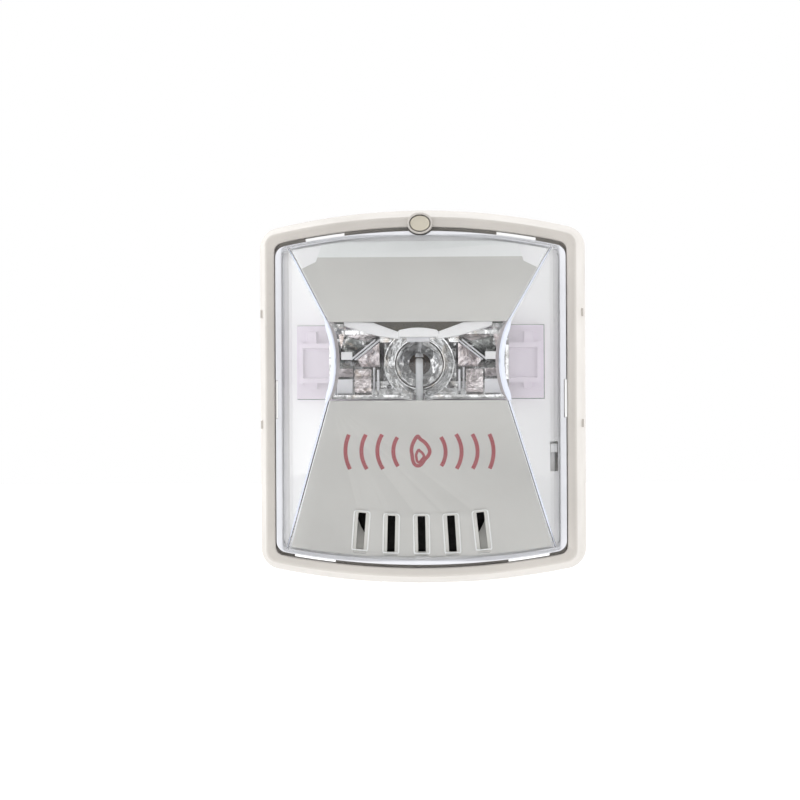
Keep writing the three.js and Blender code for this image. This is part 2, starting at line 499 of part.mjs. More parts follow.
// ---------------------------------------------------------------- captive screw behind the screw cap
{
  const head = cut(rod('y', 2.6, -16.0, -12.9, 0, BOSS_Z, 20), boxOf(-1.9, 1.9, -17, -15, BOSS_Z - 0.4, BOSS_Z + 0.4));
  add(unit, 'captive_screw', head.add(rod('y', 1.7, -13.0, -0.9, 0, BOSS_Z, 16)), 'steel');
  add(unit, 'retaining_washer', cut(rod('y', 3.0, -5.6, -4.9, 0, BOSS_Z, 20), rod('y', 2.0, -9, -3, 0, BOSS_Z, 16)), 'steel');
  const dish = new THREE.SphereGeometry(14, 24, 12);
  dish.translate(0, -24.0 - 13.45, BOSS_Z);
  add(unit, 'screw_cap', cut(prismY(ellipse(0, BOSS_Z, 3.4, 2.7, 32), -24.0, -22.8), solid(dish)), 'cap');
}

// ---------------------------------------------------------------- mounting plate
{
  let plate = prismY(roundRect(-PLATE_W, PLATE_W, -PLATE_H, PLATE_H, 5), 0, -PLATE_T);
  plate = plate.add(cut(prismY(roundRect(-PLATE_W, PLATE_W, -PLATE_H, PLATE_H, 5), 0, -6.0),
    prismY(roundRect(-PLATE_W + 1.6, PLATE_W - 1.6, -PLATE_H + 1.6, PLATE_H - 1.6, 3.4), 1, -10)));
  // top tab with the nut boss of the captive screw
  plate = join(plate, prismY(roundRect(-11, 11, 48, 63.6, 3), 0, -PLATE_T), rod('y', 3.9, -0.5, -4.2, 0, 59.7, 24));
  plate = cut(plate, rod('y', 2.3, 1, -8, 0, BOSS_Z, 20));
  // bottom tab steps forward and down, in front of the housing's rib
  plate = join(plate, boxOf(-12, 12, 0, -PLATE_T, -59.6, -50), boxOf(-12, 12, -0.6, -6.0, -60.6, -58.4),
    boxOf(-12, 12, -4.4, -6.0, -62.9, -58.4));
  // wiring opening, box screw slots and round knock-outs
  plate = cut(plate, prismY(roundRect(-19, 19, 10, 38, 4), 2, -8));
  const slots = [];
  for (const s of [-1, 1]) {
    slots.push(slotOutline(s * 41.0, -9, s * 41.0, 9, 4.6));
    for (const z of [-BOX_SCREW_Z, BOX_SCREW_Z]) slots.push(slotOutline(s * 19.5, z, s * 29.5, z, 4.6));
  }
  slots.push(slotOutline(-5, BOX_SCREW_Z, 5, BOX_SCREW_Z, 4.6), slotOutline(-5, -BOX_SCREW_Z, 5, -BOX_SCREW_Z, 4.6));
  for (const p of slots) plate = cut(plate, prismY(ccw(p), 2, -8));
  add(wallSide, 'mounting_plate', plate, 'plate');
}
function ccw(p) {
  let a = 0;
  for (let i = 0; i < p.length; i++) { const q = p[(i + 1) % p.length]; a += p[i][0] * q[1] - q[0] * p[i][1]; }
  return a < 0 ? [...p].reverse() : p;
}

// ---------------------------------------------------------------- terminal block on the plate
{
  let block = boxOf(-23, 23, -2.7, -10.6, -12, 6.5);
  for (const x of TERMINALS) {
    block = cut(block, boxOf(x - 4.2, x + 4.2, -12, -6.2, -3.6, 7), rod('y', 1.9, -8, -3.3, x, TERM_Z, 16),
      boxOf(x - 1.5, x + 1.5, -12, -5.6, PIN_Z - 1.5, PIN_Z + 1.5));
  }
  add(wallSide, 'terminal_block', block, 'black');
  TERMINALS.forEach((x, i) => {
    const n = i + 1;
    add(wallSide, `clamp_plate_${n}`, cut(boxOf(x - 3.7, x + 3.7, -7.1, -7.9, -2.6, 4.6), rod('y', 1.8, -9, -6, x, TERM_Z, 16)), 'steel');
    const head = cut(rod('y', 2.7, -8.2, -9.9, x, TERM_Z, 20), boxOf(x - 2.9, x + 2.9, -9.3, -11, TERM_Z - 0.4, TERM_Z + 0.4));
    add(wallSide, `terminal_screw_${n}`, head.add(rod('y', 1.45, -3.9, -8.3, x, TERM_Z, 14)), 'brass');
    add(wallSide, `contact_clip_${n}`, boxOf(x + 0.8, x + 1.15, -6.0, -10.2, PIN_Z - 1.0, PIN_Z + 1.0), 'brass');
  });
}

export default root;
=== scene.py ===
# Looks for a wall-mounted horn strobe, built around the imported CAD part. Metres, +Z up, the front faces -Y.
# Lengths in the shape helpers are millimetres and are scaled once, in make().
import bpy, bmesh, math
from mathutils import Vector, Matrix


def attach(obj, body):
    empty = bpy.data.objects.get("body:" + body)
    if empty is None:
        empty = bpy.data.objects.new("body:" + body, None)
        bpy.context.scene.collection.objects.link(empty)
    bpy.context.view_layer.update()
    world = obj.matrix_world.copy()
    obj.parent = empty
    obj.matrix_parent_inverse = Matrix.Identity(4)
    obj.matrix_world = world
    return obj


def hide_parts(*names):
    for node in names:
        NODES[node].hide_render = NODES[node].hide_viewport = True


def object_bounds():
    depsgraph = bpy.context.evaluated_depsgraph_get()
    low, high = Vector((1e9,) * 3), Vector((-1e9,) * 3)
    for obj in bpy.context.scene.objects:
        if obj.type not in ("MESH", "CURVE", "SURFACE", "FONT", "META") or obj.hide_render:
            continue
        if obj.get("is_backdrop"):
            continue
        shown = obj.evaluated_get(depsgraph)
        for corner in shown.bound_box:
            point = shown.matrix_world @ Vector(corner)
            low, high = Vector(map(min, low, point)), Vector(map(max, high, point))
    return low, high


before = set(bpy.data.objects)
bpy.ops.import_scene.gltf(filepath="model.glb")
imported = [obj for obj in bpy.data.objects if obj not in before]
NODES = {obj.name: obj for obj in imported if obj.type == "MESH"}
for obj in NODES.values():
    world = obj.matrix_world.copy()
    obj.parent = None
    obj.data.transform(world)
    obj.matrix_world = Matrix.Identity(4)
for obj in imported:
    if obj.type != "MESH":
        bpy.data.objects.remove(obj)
CAD_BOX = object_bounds()
scene = bpy.context.scene
MM = 0.001

# ------------------------------------------------------------------ dimensions shared with the CAD model
HALF_W, HALF_H, ARC_TOP, ARC_BOTTOM, CORNER = 58.0, 66.5, 231.0, 260.0, 7.6
SKIRT_BACK, BEZEL_FACE, WALL = -0.8, -23.5, 2.0
OPEN_W, OPEN_T, OPEN_B = 51.1, 59.4, -59.9
LEDGE_FRONT, LEDGE_BACK, LEDGE_W, LEDGE_T, LEDGE_B = -19.0, -17.4, 47.1, 55.4, -56.0
LENS_W, LENS_T, LENS_B, LENS_WALL, LENS_BACK = 50.1, 57.6, -58.3, 1.7, -20.2
TOP_FOOT, TOP_EDGE, LOW_EDGE, LOW_FOOT = (-22.6, 57.6), (-51.0, 25.6), (-51.0, -1.3), (-23.0, -58.3)
WINDOW_APEX, SIDE_X, SIDE_K = -56.0, 31.25, 0.632
PANEL_GAP, PANEL_T, FLOOR_FRONT, FLOOR_BACK = 0.45, 1.8, -21.4, -19.9
FLOOR_W, FLOOR_T, FLOOR_B = 47.4, 55.4, -56.0
BOSS_Z, BOSS_A, BOSS_B, BOSS_FRONT = 60.7, 4.5, 3.8, -24.4
SLOTS = [(-20.4, -40.2, -21.7, -53.2), (-10.2, -41.3, -10.8, -54.3), (0.15, -41.5, 0.15, -54.5),
         (10.4, -41.3, 11.0, -54.3), (20.6, -40.2, 21.9, -53.2)]
SLOT_W, LENS_SLOT_W = 2.7, 4.6
HORN_Z, HORN_R, HORN_FLAT = -35.0, 24.9, -55.5
TUBE_Y, TUBE_R = -37.5, 1.28
CANDELA = (45.6, -21.0)
POSTS = [(-43.6, 44), (43.6, 44), (-43.6, -44), (43.6, -44)]

# ------------------------------------------------------------------ mesh helpers
def link(name, me):
    ob = bpy.data.objects.new(name, me)
    scene.collection.objects.link(ob)
    return ob

def from_data(name, verts, faces):
    me = bpy.data.meshes.new(name)
    me.from_pydata([Vector(v) for v in verts], [], faces)
    me.validate()
    me.update()
    ob = link(name, me)
    fix_normals(me)
    return ob

def fix_normals(me):
    bm = bmesh.new()
    bm.from_mesh(me)
    bmesh.ops.recalc_face_normals(bm, faces=bm.faces)
    bm.to_mesh(me)
    bm.free()

def apply_mods(ob):
    dg = bpy.context.evaluated_depsgraph_get()
    dg.update()
    me = bpy.data.meshes.new_from_object(ob.evaluated_get(dg), depsgraph=dg)
    old = ob.data
    ob.modifiers.clear()
    ob.data = me
    if old.users == 0:
        bpy.data.meshes.remove(old)
    return ob

def boolean(a, b, op="DIFFERENCE", solver="MANIFOLD", keep=False):
    m = a.modifiers.new("b", "BOOLEAN")
    m.operation, m.solver, m.object = op, solver, b
    apply_mods(a)
    if not keep:
        drop(b)
    return a

def drop(ob):
    me = ob.data
    bpy.data.objects.remove(ob)
    if me.users == 0:
        bpy.data.meshes.remove(me)

def cut(a, *others):
    for b in others:
        boolean(a, b)
    return a

def add(a, *others):
    for b in others:
        boolean(a, b, "UNION")
    return a

def both(a, *others):
    for b in others:
        boolean(a, b, "INTERSECT")
    return a

def prism_y(pts, y0, y1, name="p"):
    n = len(pts)
    v = [(x, y0, z) for x, z in pts] + [(x, y1, z) for x, z in pts]
    f = [tuple(range(n)), tuple(range(2 * n - 1, n - 1, -1))]
    f += [(i, (i + 1) % n, n + (i + 1) % n, n + i) for i in range(n)]
    return from_data(name, v, f)

def prism_x(pts, x0, x1, name="p"):
    n = len(pts)
    v = [(x0, y, z) for y, z in pts] + [(x1, y, z) for y, z in pts]
    f = [tuple(range(n)), tuple(range(2 * n - 1, n - 1, -1))]
    f += [(i, (i + 1) % n, n + (i + 1) % n, n + i) for i in range(n)]
    return from_data(name, v, f)

def prism_z(pts, z0, z1, name="p"):
    n = len(pts)
    v = [(x, y, z0) for x, y in pts] + [(x, y, z1) for x, y in pts]
    f = [tuple(range(n)), tuple(range(2 * n - 1, n - 1, -1))]
    f += [(i, (i + 1) % n, n + (i + 1) % n, n + i) for i in range(n)]
    return from_data(name, v, f)

def box(x0, x1, y0, y1, z0, z1, name="b"):
    return prism_z([(x0, y0), (x1, y0), (x1, y1), (x0, y1)], z0, z1, name)

def lathe_y(profile, cx, cz, seg=64, name="l"):
    """A closed (r, y) profile turned about the Y axis line through (cx, cz). r may be 0 at the ends."""
    v, f, rings = [], [], []
    for r, y in profile:
        if r < 1e-6:
            rings.append([len(v)]); v.append((cx, y, cz))
        else:
            rings.append([len(v) + k for k in range(seg)])
            v += [(cx + r * math.cos(2 * math.pi * k / seg), y, cz + r * math.sin(2 * math.pi * k / seg)) for k in range(seg)]
    closed = profile[0][0] > 1e-6 or profile[-1][0] > 1e-6
    m = len(rings)
    for i in range(m if closed else m - 1):
        a, b = rings[i], rings[(i + 1) % m]
        for k in range(seg):
            j = (k + 1) % seg
            if len(a) == 1 and len(b) == 1:
                continue
            if len(a) == 1:
                f.append((a[0], b[k], b[j]))
            elif len(b) == 1:
                f.append((a[k], b[0], a[j]))
            else:
                f.append((a[k], b[k], b[j], a[j]))
    return from_data(name, v, f)

def cyl_y(r, y0, y1, cx, cz, seg=48, name="c"):
    return prism_y([(cx + r * math.cos(2 * math.pi * k / seg), cz + r * math.sin(2 * math.pi * k / seg)) for k in range(seg)], y0, y1, name)

def cyl_z(r, z0, z1, cx, cy, seg=48, name="c"):
    return prism_z([(cx + r * math.cos(2 * math.pi * k / seg), cy + r * math.sin(2 * math.pi * k / seg)) for k in range(seg)], z0, z1, name)

def ellipse(cx, cz, a, b, seg=64):
    return [(cx + a * math.cos(2 * math.pi * i / seg), cz + b * math.sin(2 * math.pi * i / seg)) for i in range(seg)]

def round_rect(x0, x1, z0, z1, r, seg=6):
    out = []
    for cx, cz, a0 in ((x1 - r, z1 - r, 0), (x0 + r, z1 - r, 90), (x0 + r, z0 + r, 180), (x1 - r, z0 + r, 270)):
        for i in range(seg + 1):
            a = math.radians(a0 + 90 * i / seg)
            out.append((cx + r * math.cos(a), cz + r * math.sin(a)))
    return out

def bar(x0, z0, x1, z1, w, ext=0.0, r=0.0):
    l = math.hypot(x1 - x0, z1 - z0)
    dx, dz = (x1 - x0) / l, (z1 - z0) / l
    nx, nz = -dz * w / 2, dx * w / 2
    x0, z0, x1, z1 = x0 - dx * ext, z0 - dz * ext, x1 + dx * ext, z1 + dz * ext
    c = [(x0 - nx, z0 - nz), (x1 - nx, z1 - nz), (x1 + nx, z1 + nz), (x0 + nx, z0 + nz)]
    if not r:
        return c
    out = []
    for i in range(4):
        p, q, s = Vector(c[i - 1]), Vector(c[i]), Vector(c[(i + 1) % 4])
        u, v = (p - q).normalized(), (s - q).normalized()
        for k in range(5):
            t = k / 4
            out.append(tuple(q + u * r * (1 - t) ** 2 + v * r * t ** 2))
    return out

def outline(w, top, bottom, r_top, r_bottom, rc, arc=48, cor=10, side=12):
    """Straight sides, bowed top and bottom, round corners; always the same number of points."""
    pts = []
    def quarter(h, R, flip):
        cx = w - rc
        cz = h - R + math.sqrt((R - rc) ** 2 - cx ** 2)
        end = math.atan2(cz - (h - R), cx)
        return [(cx + rc * math.cos(i / cor * end), flip * (cz + rc * math.sin(i / cor * end))) for i in range(cor + 1)], end
    t, te = quarter(top, r_top, 1)
    b, be = quarter(-bottom, r_bottom, -1)
    pts += t
    for i in range(1, arc):
        a = te + i / arc * (math.pi - 2 * te)
        pts.append((r_top * math.cos(a), top - r_top + r_top * math.sin(a)))
    pts += [(-x, z) for x, z in reversed(t)]
    zt, zb = t[0][1], b[0][1]
    for i in range(1, side):
        pts.append((-w, zt + (zb - zt) * i / side))
    pts += [(-x, z) for x, z in b]
    for i in range(1, arc):
        a = be + i / arc * (math.pi - 2 * be)
        pts.append((-r_bottom * math.cos(a), -(-bottom - r_bottom + r_bottom * math.sin(a))))
    pts += list(reversed(b))
    for i in range(1, side):
        pts.append((w, zb + (zt - zb) * i / side))
    return pts

def wall_outline(d): return outline(HALF_W - d, HALF_H - d, -(HALF_H - d), ARC_TOP - d, ARC_BOTTOM - d, max(CORNER - d, 1.5))
def open_outline(d): return outline(OPEN_W - d, OPEN_T - d, OPEN_B + d, 226 - d, 254 - d, max(3.0 - d, 1.0))
def lens_outline(d, **k): return outline(LENS_W - d, LENS_T - d, LENS_B + d, 224 - d, 252 - d, max(3.4 - d, 1.0), **k)

def loft_ring(sections, name="loft"):
    n, m = len(sections[0][1]), len(sections)
    v = [(x, y, z) for y, pts in sections for x, z in pts]
    f = []
    for s in range(m):
        a, b = s * n, ((s + 1) % m) * n
        for i in range(n):
            j = (i + 1) % n
            f.append((a + i, a + j, b + j, b + i))
    return from_data(name, v, f)

def clean(ob, dist=0.002, planar=0.5):
    bm = bmesh.new()
    bm.from_mesh(ob.data)
    bmesh.ops.remove_doubles(bm, verts=bm.verts, dist=dist)
    bmesh.ops.dissolve_degenerate(bm, edges=bm.edges, dist=dist)
    if planar:
        bmesh.ops.dissolve_limit(bm, angle_limit=math.radians(planar), verts=bm.verts, edges=bm.edges, delimit=set())
    bm.to_mesh(ob.data)
    bm.free()
    return ob

def bevel(ob, width, seg=2, angle=35, do_clean=True):
    if do_clean:
        clean(ob)
    m = ob.modifiers.new("bev", "BEVEL")
    m.width, m.segments, m.limit_method, m.angle_limit = width, seg, "ANGLE", math.radians(angle)
    m.use_clamp_overlap = True
    m.harden_normals = False
    m.miter_outer = "MITER_ARC"
    apply_mods(ob)
    return ob

def smooth(ob, angle=35):
    me = ob.data
    for p in me.polygons:
        p.use_smooth = True
    bm = bmesh.new()
    bm.from_mesh(me)
    lim = math.radians(angle)
    for e in bm.edges:
        e.smooth = not (len(e.link_faces) != 2 or e.calc_face_angle(0) > lim)
    bm.to_mesh(me)
    bm.free()
    return ob

def weight_normals(ob, angle=35):
    """Smooth shading that keeps every flat face flat: a corner's normal is led by the largest flat patch around it."""
    me = ob.data
    bm = bmesh.new()
    bm.from_mesh(me)
    bm.faces.ensure_lookup_table()
    n = len(bm.faces)
    root = list(range(n))
    def find(i):
        while root[i] != i:
            root[i] = root[root[i]]
            i = root[i]
        return i
    flat = math.radians(0.6)
    for e in bm.edges:
        if len(e.link_faces) == 2:
            f, g = e.link_faces
            if e.calc_face_angle(9) < flat:
                root[find(f.index)] = find(g.index)
    size = [0.0] * n
    for f in bm.faces:
        size[find(f.index)] += f.calc_area()
    lim = math.cos(math.radians(angle))
    normals = [None] * sum(len(f.verts) for f in bm.faces)
    around = {v.index: [(f.normal.copy(), size[find(f.index)], find(f.index)) for f in v.link_faces] for v in bm.verts}
    i = 0
    for f in bm.faces:
        fn = f.normal
        for l in f.loops:
            acc, seen = Vector((0, 0, 0)), set()
            for gn, w, r in around[l.vert.index]:
                if r not in seen and gn.dot(fn) > lim:
                    seen.add(r)
                    acc += gn * w * w
            normals[i] = acc.normalized() if acc.length > 1e-20 else fn.copy()
            i += 1
    bm.free()
    for p in me.polygons:
        p.use_smooth = True
    order = []
    for p in me.polygons:
        order.extend(p.loop_indices)
    out = [None] * len(order)
    for k, li in enumerate(order):
        out[li] = normals[k]
    me.normals_split_custom_set(out)
    return ob

def make(ob, name, body, slot, mat, replaces=(), angle=35, weighted=True):
    """Scales from millimetres, gives the finish, ties the piece to its body and hides the CAD nodes it replaces."""
    ob.name = name
    ob.data.name = name
    ob.data.transform(Matrix.Scale(MM, 4))
    if not weighted:
        smooth(ob, angle)
    if weighted:
        weight_normals(ob, angle)
    ob.data.materials.clear()
    ob.data.materials.append(mat)
    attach(ob, body)
    if replaces:
        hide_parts(*replaces)
    return ob

def refined(node, body, slot, mat, width=0.25, seg=2, angle=30, name=None):
    """A copy of a CAD node with its flat faces merged and its edges rounded."""
    src = NODES[node]
    me = src.data.copy()
    ob = link("tmp_" + node, me)
    me.transform(Matrix.Scale(1000, 4))
    if me.has_custom_normals:
        bm = bmesh.new(); bm.from_mesh(me); bm.to_mesh(me); bm.free()
    clean(ob, 0.003, 1.0)
    if width:
        bevel(ob, width, seg, angle, do_clean=False)
    return make(ob, name or node + "_shell", body, slot, mat, (node,))

# ------------------------------------------------------------------ materials
def lin(c):
    return tuple((v / 255 / 12.92 if v / 255 <= 0.04045 else ((v / 255 + 0.055) / 1.055) ** 2.4) for v in c) + (1.0,)

class Mat:
    def __init__(self, name):
        self.m = bpy.data.materials.new(name)
        self.m.use_nodes = True
        self.t = self.m.node_tree
        self.t.nodes.clear()
        self.out = self.t.nodes.new("ShaderNodeOutputMaterial")
        self.b = self.t.nodes.new("ShaderNodeBsdfPrincipled")
        self.t.links.new(self.b.outputs[0], self.out.inputs[0])
        self.coord = self.t.nodes.new("ShaderNodeTexCoord").outputs["Object"]
    def n(self, kind, **k):
        x = self.t.nodes.new(kind)
        for a, v in k.items():
            setattr(x, a, v)
        return x
    def link(self, a, b):
        self.t.links.new(a, b)
    def noise(self, scale, detail=4, rough=0.55, dist=0.0, vec=None):
        x = self.n("ShaderNodeTexNoise")
        x.inputs["Scale"].default_value = scale
        x.inputs["Detail"].default_value = detail
        x.inputs["Roughness"].default_value = rough
        x.inputs["Distortion"].default_value = dist
        self.link(vec or self.coord, x.inputs["Vector"])
        return x.outputs["Fac"]
    def ramp(self, fac, stops):
        x = self.n("ShaderNodeValToRGB")
        el = x.color_ramp.elements
        while len(el) < len(stops):
            el.new(0.5)
        for e, (p, c) in zip(el, stops):
            e.position, e.color = p, c
        self.link(fac, x.inputs["Fac"])
        return x.outputs["Color"]
    def mapr(self, v, a, b, c, d, clamp=True):
        x = self.n("ShaderNodeMapRange", clamp=clamp)
        for i, val in zip(("From Min", "From Max", "To Min", "To Max"), (a, b, c, d)):
            x.inputs[i].default_value = val
        self.link(v, x.inputs["Value"])
        return x.outputs["Result"]
    def math(self, op, a, b=None):
        x = self.n("ShaderNodeMath", operation=op)
        for i, v in enumerate((a, b)):
            if v is None:
                continue
            if isinstance(v, (int, float)):
                x.inputs[i].default_value = v
            else:
                self.link(v, x.inputs[i])
        return x.outputs[0]
    def mix(self, fac, a, b, blend="MIX"):
        x = self.n("ShaderNodeMix", data_type="RGBA", blend_type=blend)
        for s, v in ((x.inputs[0], fac), (x.inputs[6], a), (x.inputs[7], b)):
            if isinstance(v, (int, float)):
                s.default_value = v
            elif isinstance(v, tuple):
                s.default_value = v
            else:
                self.link(v, s)
        return x.outputs[2]
    def bump(self, height, strength, distance, normal=None):
        x = self.n("ShaderNodeBump")
        x.inputs["Strength"].default_value = strength
        x.inputs["Distance"].default_value = distance
        self.link(height, x.inputs["Height"])
        if normal:
            self.link(normal, x.inputs["Normal"])
        return x.outputs["Normal"]
    def edge(self):
        g = self.n("ShaderNodeNewGeometry")
        return g.outputs["Pointiness"]
    def xyz(self):
        s = self.n("ShaderNodeSeparateXYZ")
        self.link(self.coord, s.inputs[0])
        return s.outputs

def plastic(name, base, rough=0.42, grain=1.0, edge=0.35, spec=0.45, tint=None, coat=0.0):
    """Moulded plastic: faint spark-eroded grain, slow colour drift, lighter rubbed edges, and painted shade darkening
    the creases.
    """
    m = Mat(name)
    c = lin(base)
    dark = tuple(v * 0.93 for v in c[:3]) + (1,)
    light = tuple(min(v * 1.05, 1) for v in c[:3]) + (1,)
    slow = m.noise(18, 5, 0.6)
    col = m.mix(m.mapr(slow, 0.35, 0.65, 0, 1), dark, light)
    speck = m.noise(900, 2, 0.5)
    col = m.mix(m.mapr(speck, 0.62, 0.72, 0, 0.25), col, tuple(v * 0.82 for v in c[:3]) + (1,))
    if tint:
        col = m.mix(m.mapr(m.noise(45, 3, 0.6), 0.45, 0.75, 0, 0.5), col, lin(tint))
    p = m.edge()
    worn = m.mapr(p, 0.52, 0.60, 0, edge)
    col = m.mix(worn, col, tuple(min(v * 1.22, 1) for v in c[:3]) + (1,))
    # painted shade: creases (low pointiness) darkened towards 0.62 of the base colour
    crease_shade = m.mapr(p, 0.40, 0.47, 0.28, 0)
    col = m.mix(crease_shade, col, tuple(v * 0.62 for v in c[:3]) + (1,))
    m.link(col, m.b.inputs["Base Color"])
    r = m.mapr(m.noise(60, 4, 0.6), 0.3, 0.7, rough - 0.07, rough + 0.07)
    m.link(r, m.b.inputs["Roughness"])
    m.b.inputs["Specular IOR Level"].default_value = spec
    m.b.inputs["Coat Weight"].default_value = coat
    grain1 = m.noise(2600, 2, 0.6)
    n1 = m.bump(grain1, 0.16 * grain, 0.00004)
    n2 = m.bump(m.noise(120, 3, 0.5), 0.10, 0.0002, n1)
    m.link(n2, m.b.inputs["Normal"])
    return m.m

def metal(name, base, rough=0.25, brushed=0.0, grime=0.3, scale=400):
    m = Mat(name)
    c = lin(base)
    st = m.noise(scale, 3, 0.6)
    col = m.mix(m.mapr(st, 0.4, 0.75, 0, grime), c, tuple(v * 0.6 for v in c[:3]) + (1,))
    p = m.edge()
    col = m.mix(m.mapr(p, 0.52, 0.60, 0, 0.5), col, tuple(min(1, v * 1.25) for v in c[:3]) + (1,))
    m.link(col, m.b.inputs["Base Color"])
    m.b.inputs["Metallic"].default_value = 1
    m.link(m.mapr(m.noise(scale * 0.4, 4, 0.6), 0.3, 0.7, rough * 0.75, rough * 1.35), m.b.inputs["Roughness"])
    if brushed:
        mp = m.n("ShaderNodeMapping")
        mp.inputs["Scale"].default_value = (60, 60, 4000)
        m.link(m.coord, mp.inputs["Vector"])
        m.link(m.bump(m.noise(1, 2, 0.6, vec=mp.outputs[0]), brushed, 0.00005), m.b.inputs["Normal"])
    else:
        m.link(m.bump(m.noise(700, 3, 0.6), 0.05, 0.00005), m.b.inputs["Normal"])
    return m.m

def chrome(name, hi=(0.86, 0.87, 0.88, 1), lo=(0.70, 0.70, 0.69, 1), r0=0.07, r1=0.17, reflection_amount=0.75):
    """Vacuum-metallised plastic: bright, a little wavy, with a slight haze, and painted reflections in its colour: dark
    and bright patches and warm glints.
    """
    m = Mat(name)
    haze = m.noise(220, 4, 0.6)
    col = m.mix(m.mapr(haze, 0.35, 0.75, 0, 0.6), hi, lo)
    # painted reflections: dark and near-white patches and warm glints mixed into the metal's colour
    reflection_blot = m.noise(210, 5, 0.62, 1.6)
    col = m.mix(m.mapr(reflection_blot, 0.40, 0.53, reflection_amount, 0), col, tuple(v * 0.42 for v in lo[:3]) + (1,))
    col = m.mix(m.mapr(reflection_blot, 0.56, 0.66, 0, reflection_amount), col, (0.97, 0.97, 0.98, 1))
    warm_glint = m.noise(160, 3, 0.6, 0.8)
    col = m.mix(m.mapr(warm_glint, 0.56, 0.70, 0, 0.55 * reflection_amount), col, (0.62, 0.50, 0.38, 1))
    m.link(col, m.b.inputs["Base Color"])
    m.b.inputs["Metallic"].default_value = 1
    m.link(m.mapr(m.noise(150, 4, 0.6), 0.3, 0.7, r0, r1), m.b.inputs["Roughness"])
    n1 = m.bump(m.noise(260, 2, 0.5), 0.5, 0.0006)
    m.link(m.bump(m.noise(1800, 2, 0.5), 0.05, 0.00004, n1), m.b.inputs["Normal"])
    return m.m

def clear(name):
    """Moulded polycarbonate. Shadow rays pass through, so what lies behind stays lit."""
    m = Mat(name)
    b = m.b
    b.inputs["Base Color"].default_value = (0.996, 0.998, 1.0, 1)
    b.inputs["Transmission Weight"].default_value = 1.0
    b.inputs["IOR"].default_value = 1.5
    b.inputs["Roughness"].default_value = 0.02
    n1 = m.bump(m.noise(55, 2, 0.5), 0.03, 0.0006)
    m.link(m.bump(m.noise(900, 2, 0.5), 0.03, 0.00004, n1), b.inputs["Normal"])
    tr = m.n("ShaderNodeBsdfTransparent")
    tr.inputs[0].default_value = (0.998, 0.999, 1.0, 1)
    mixs = m.n("ShaderNodeMixShader")
    lp = m.n("ShaderNodeLightPath")
    m.link(lp.outputs["Is Shadow Ray"], mixs.inputs[0])
    m.link(b.outputs[0], mixs.inputs[1])
    m.link(tr.outputs[0], mixs.inputs[2])
    m.link(mixs.outputs[0], m.out.inputs[0])
    return m.m

M_HOUSING = plastic("housing_plastic", (199, 194, 188), 0.46, 1.0)
M_PANEL = plastic("panel_plastic", (201, 200, 196), 0.48, 1.1)
M_LENS = clear("lens_clear")
M_CHROME = chrome("reflector_metallised")
M_WING = chrome("wing_metallised", (0.74, 0.69, 0.70, 1), (0.46, 0.39, 0.38, 1), 0.12, 0.26)
M_WINGDARK = chrome("wing_metallised_shaded", (0.26, 0.27, 0.26, 1), (0.14, 0.15, 0.14, 1), 0.14, 0.3)
M_BLACK = plastic("black_plastic", (44, 40, 41), 0.5, 1.4, edge=0.5)
M_CUP = plastic("horn_black", (40, 36, 37), 0.6, 1.2, edge=0.4)
M_RUBBER = plastic("grey_rubber", (170, 174, 168), 0.75, 1.6, edge=0.2, spec=0.25)
M_PLATE = plastic("plate_plastic", (176, 174, 168), 0.5, 1.2)
M_COVER = plastic("cover_plastic", (188, 185, 179), 0.5, 1.2)
M_CAP = plastic("cap_plastic", (205, 198, 182), 0.45, 1.0)
M_RED = plastic("red_plastic", (188, 48, 54), 0.42, 1.0)
M_SLIDER = plastic("white_slider", (224, 222, 214), 0.42, 1.0)
M_BLUE = plastic("capacitor_sleeve", (40, 52, 92), 0.32, 0.5, edge=0.1)
M_FERRITE = plastic("ferrite", (52, 50, 50), 0.65, 2.2, edge=0.6)
M_STEEL = metal("zinc_steel", (196, 197, 199), 0.30, grime=0.35)
M_BRASS = metal("brass", (204, 170, 104), 0.28, grime=0.35)

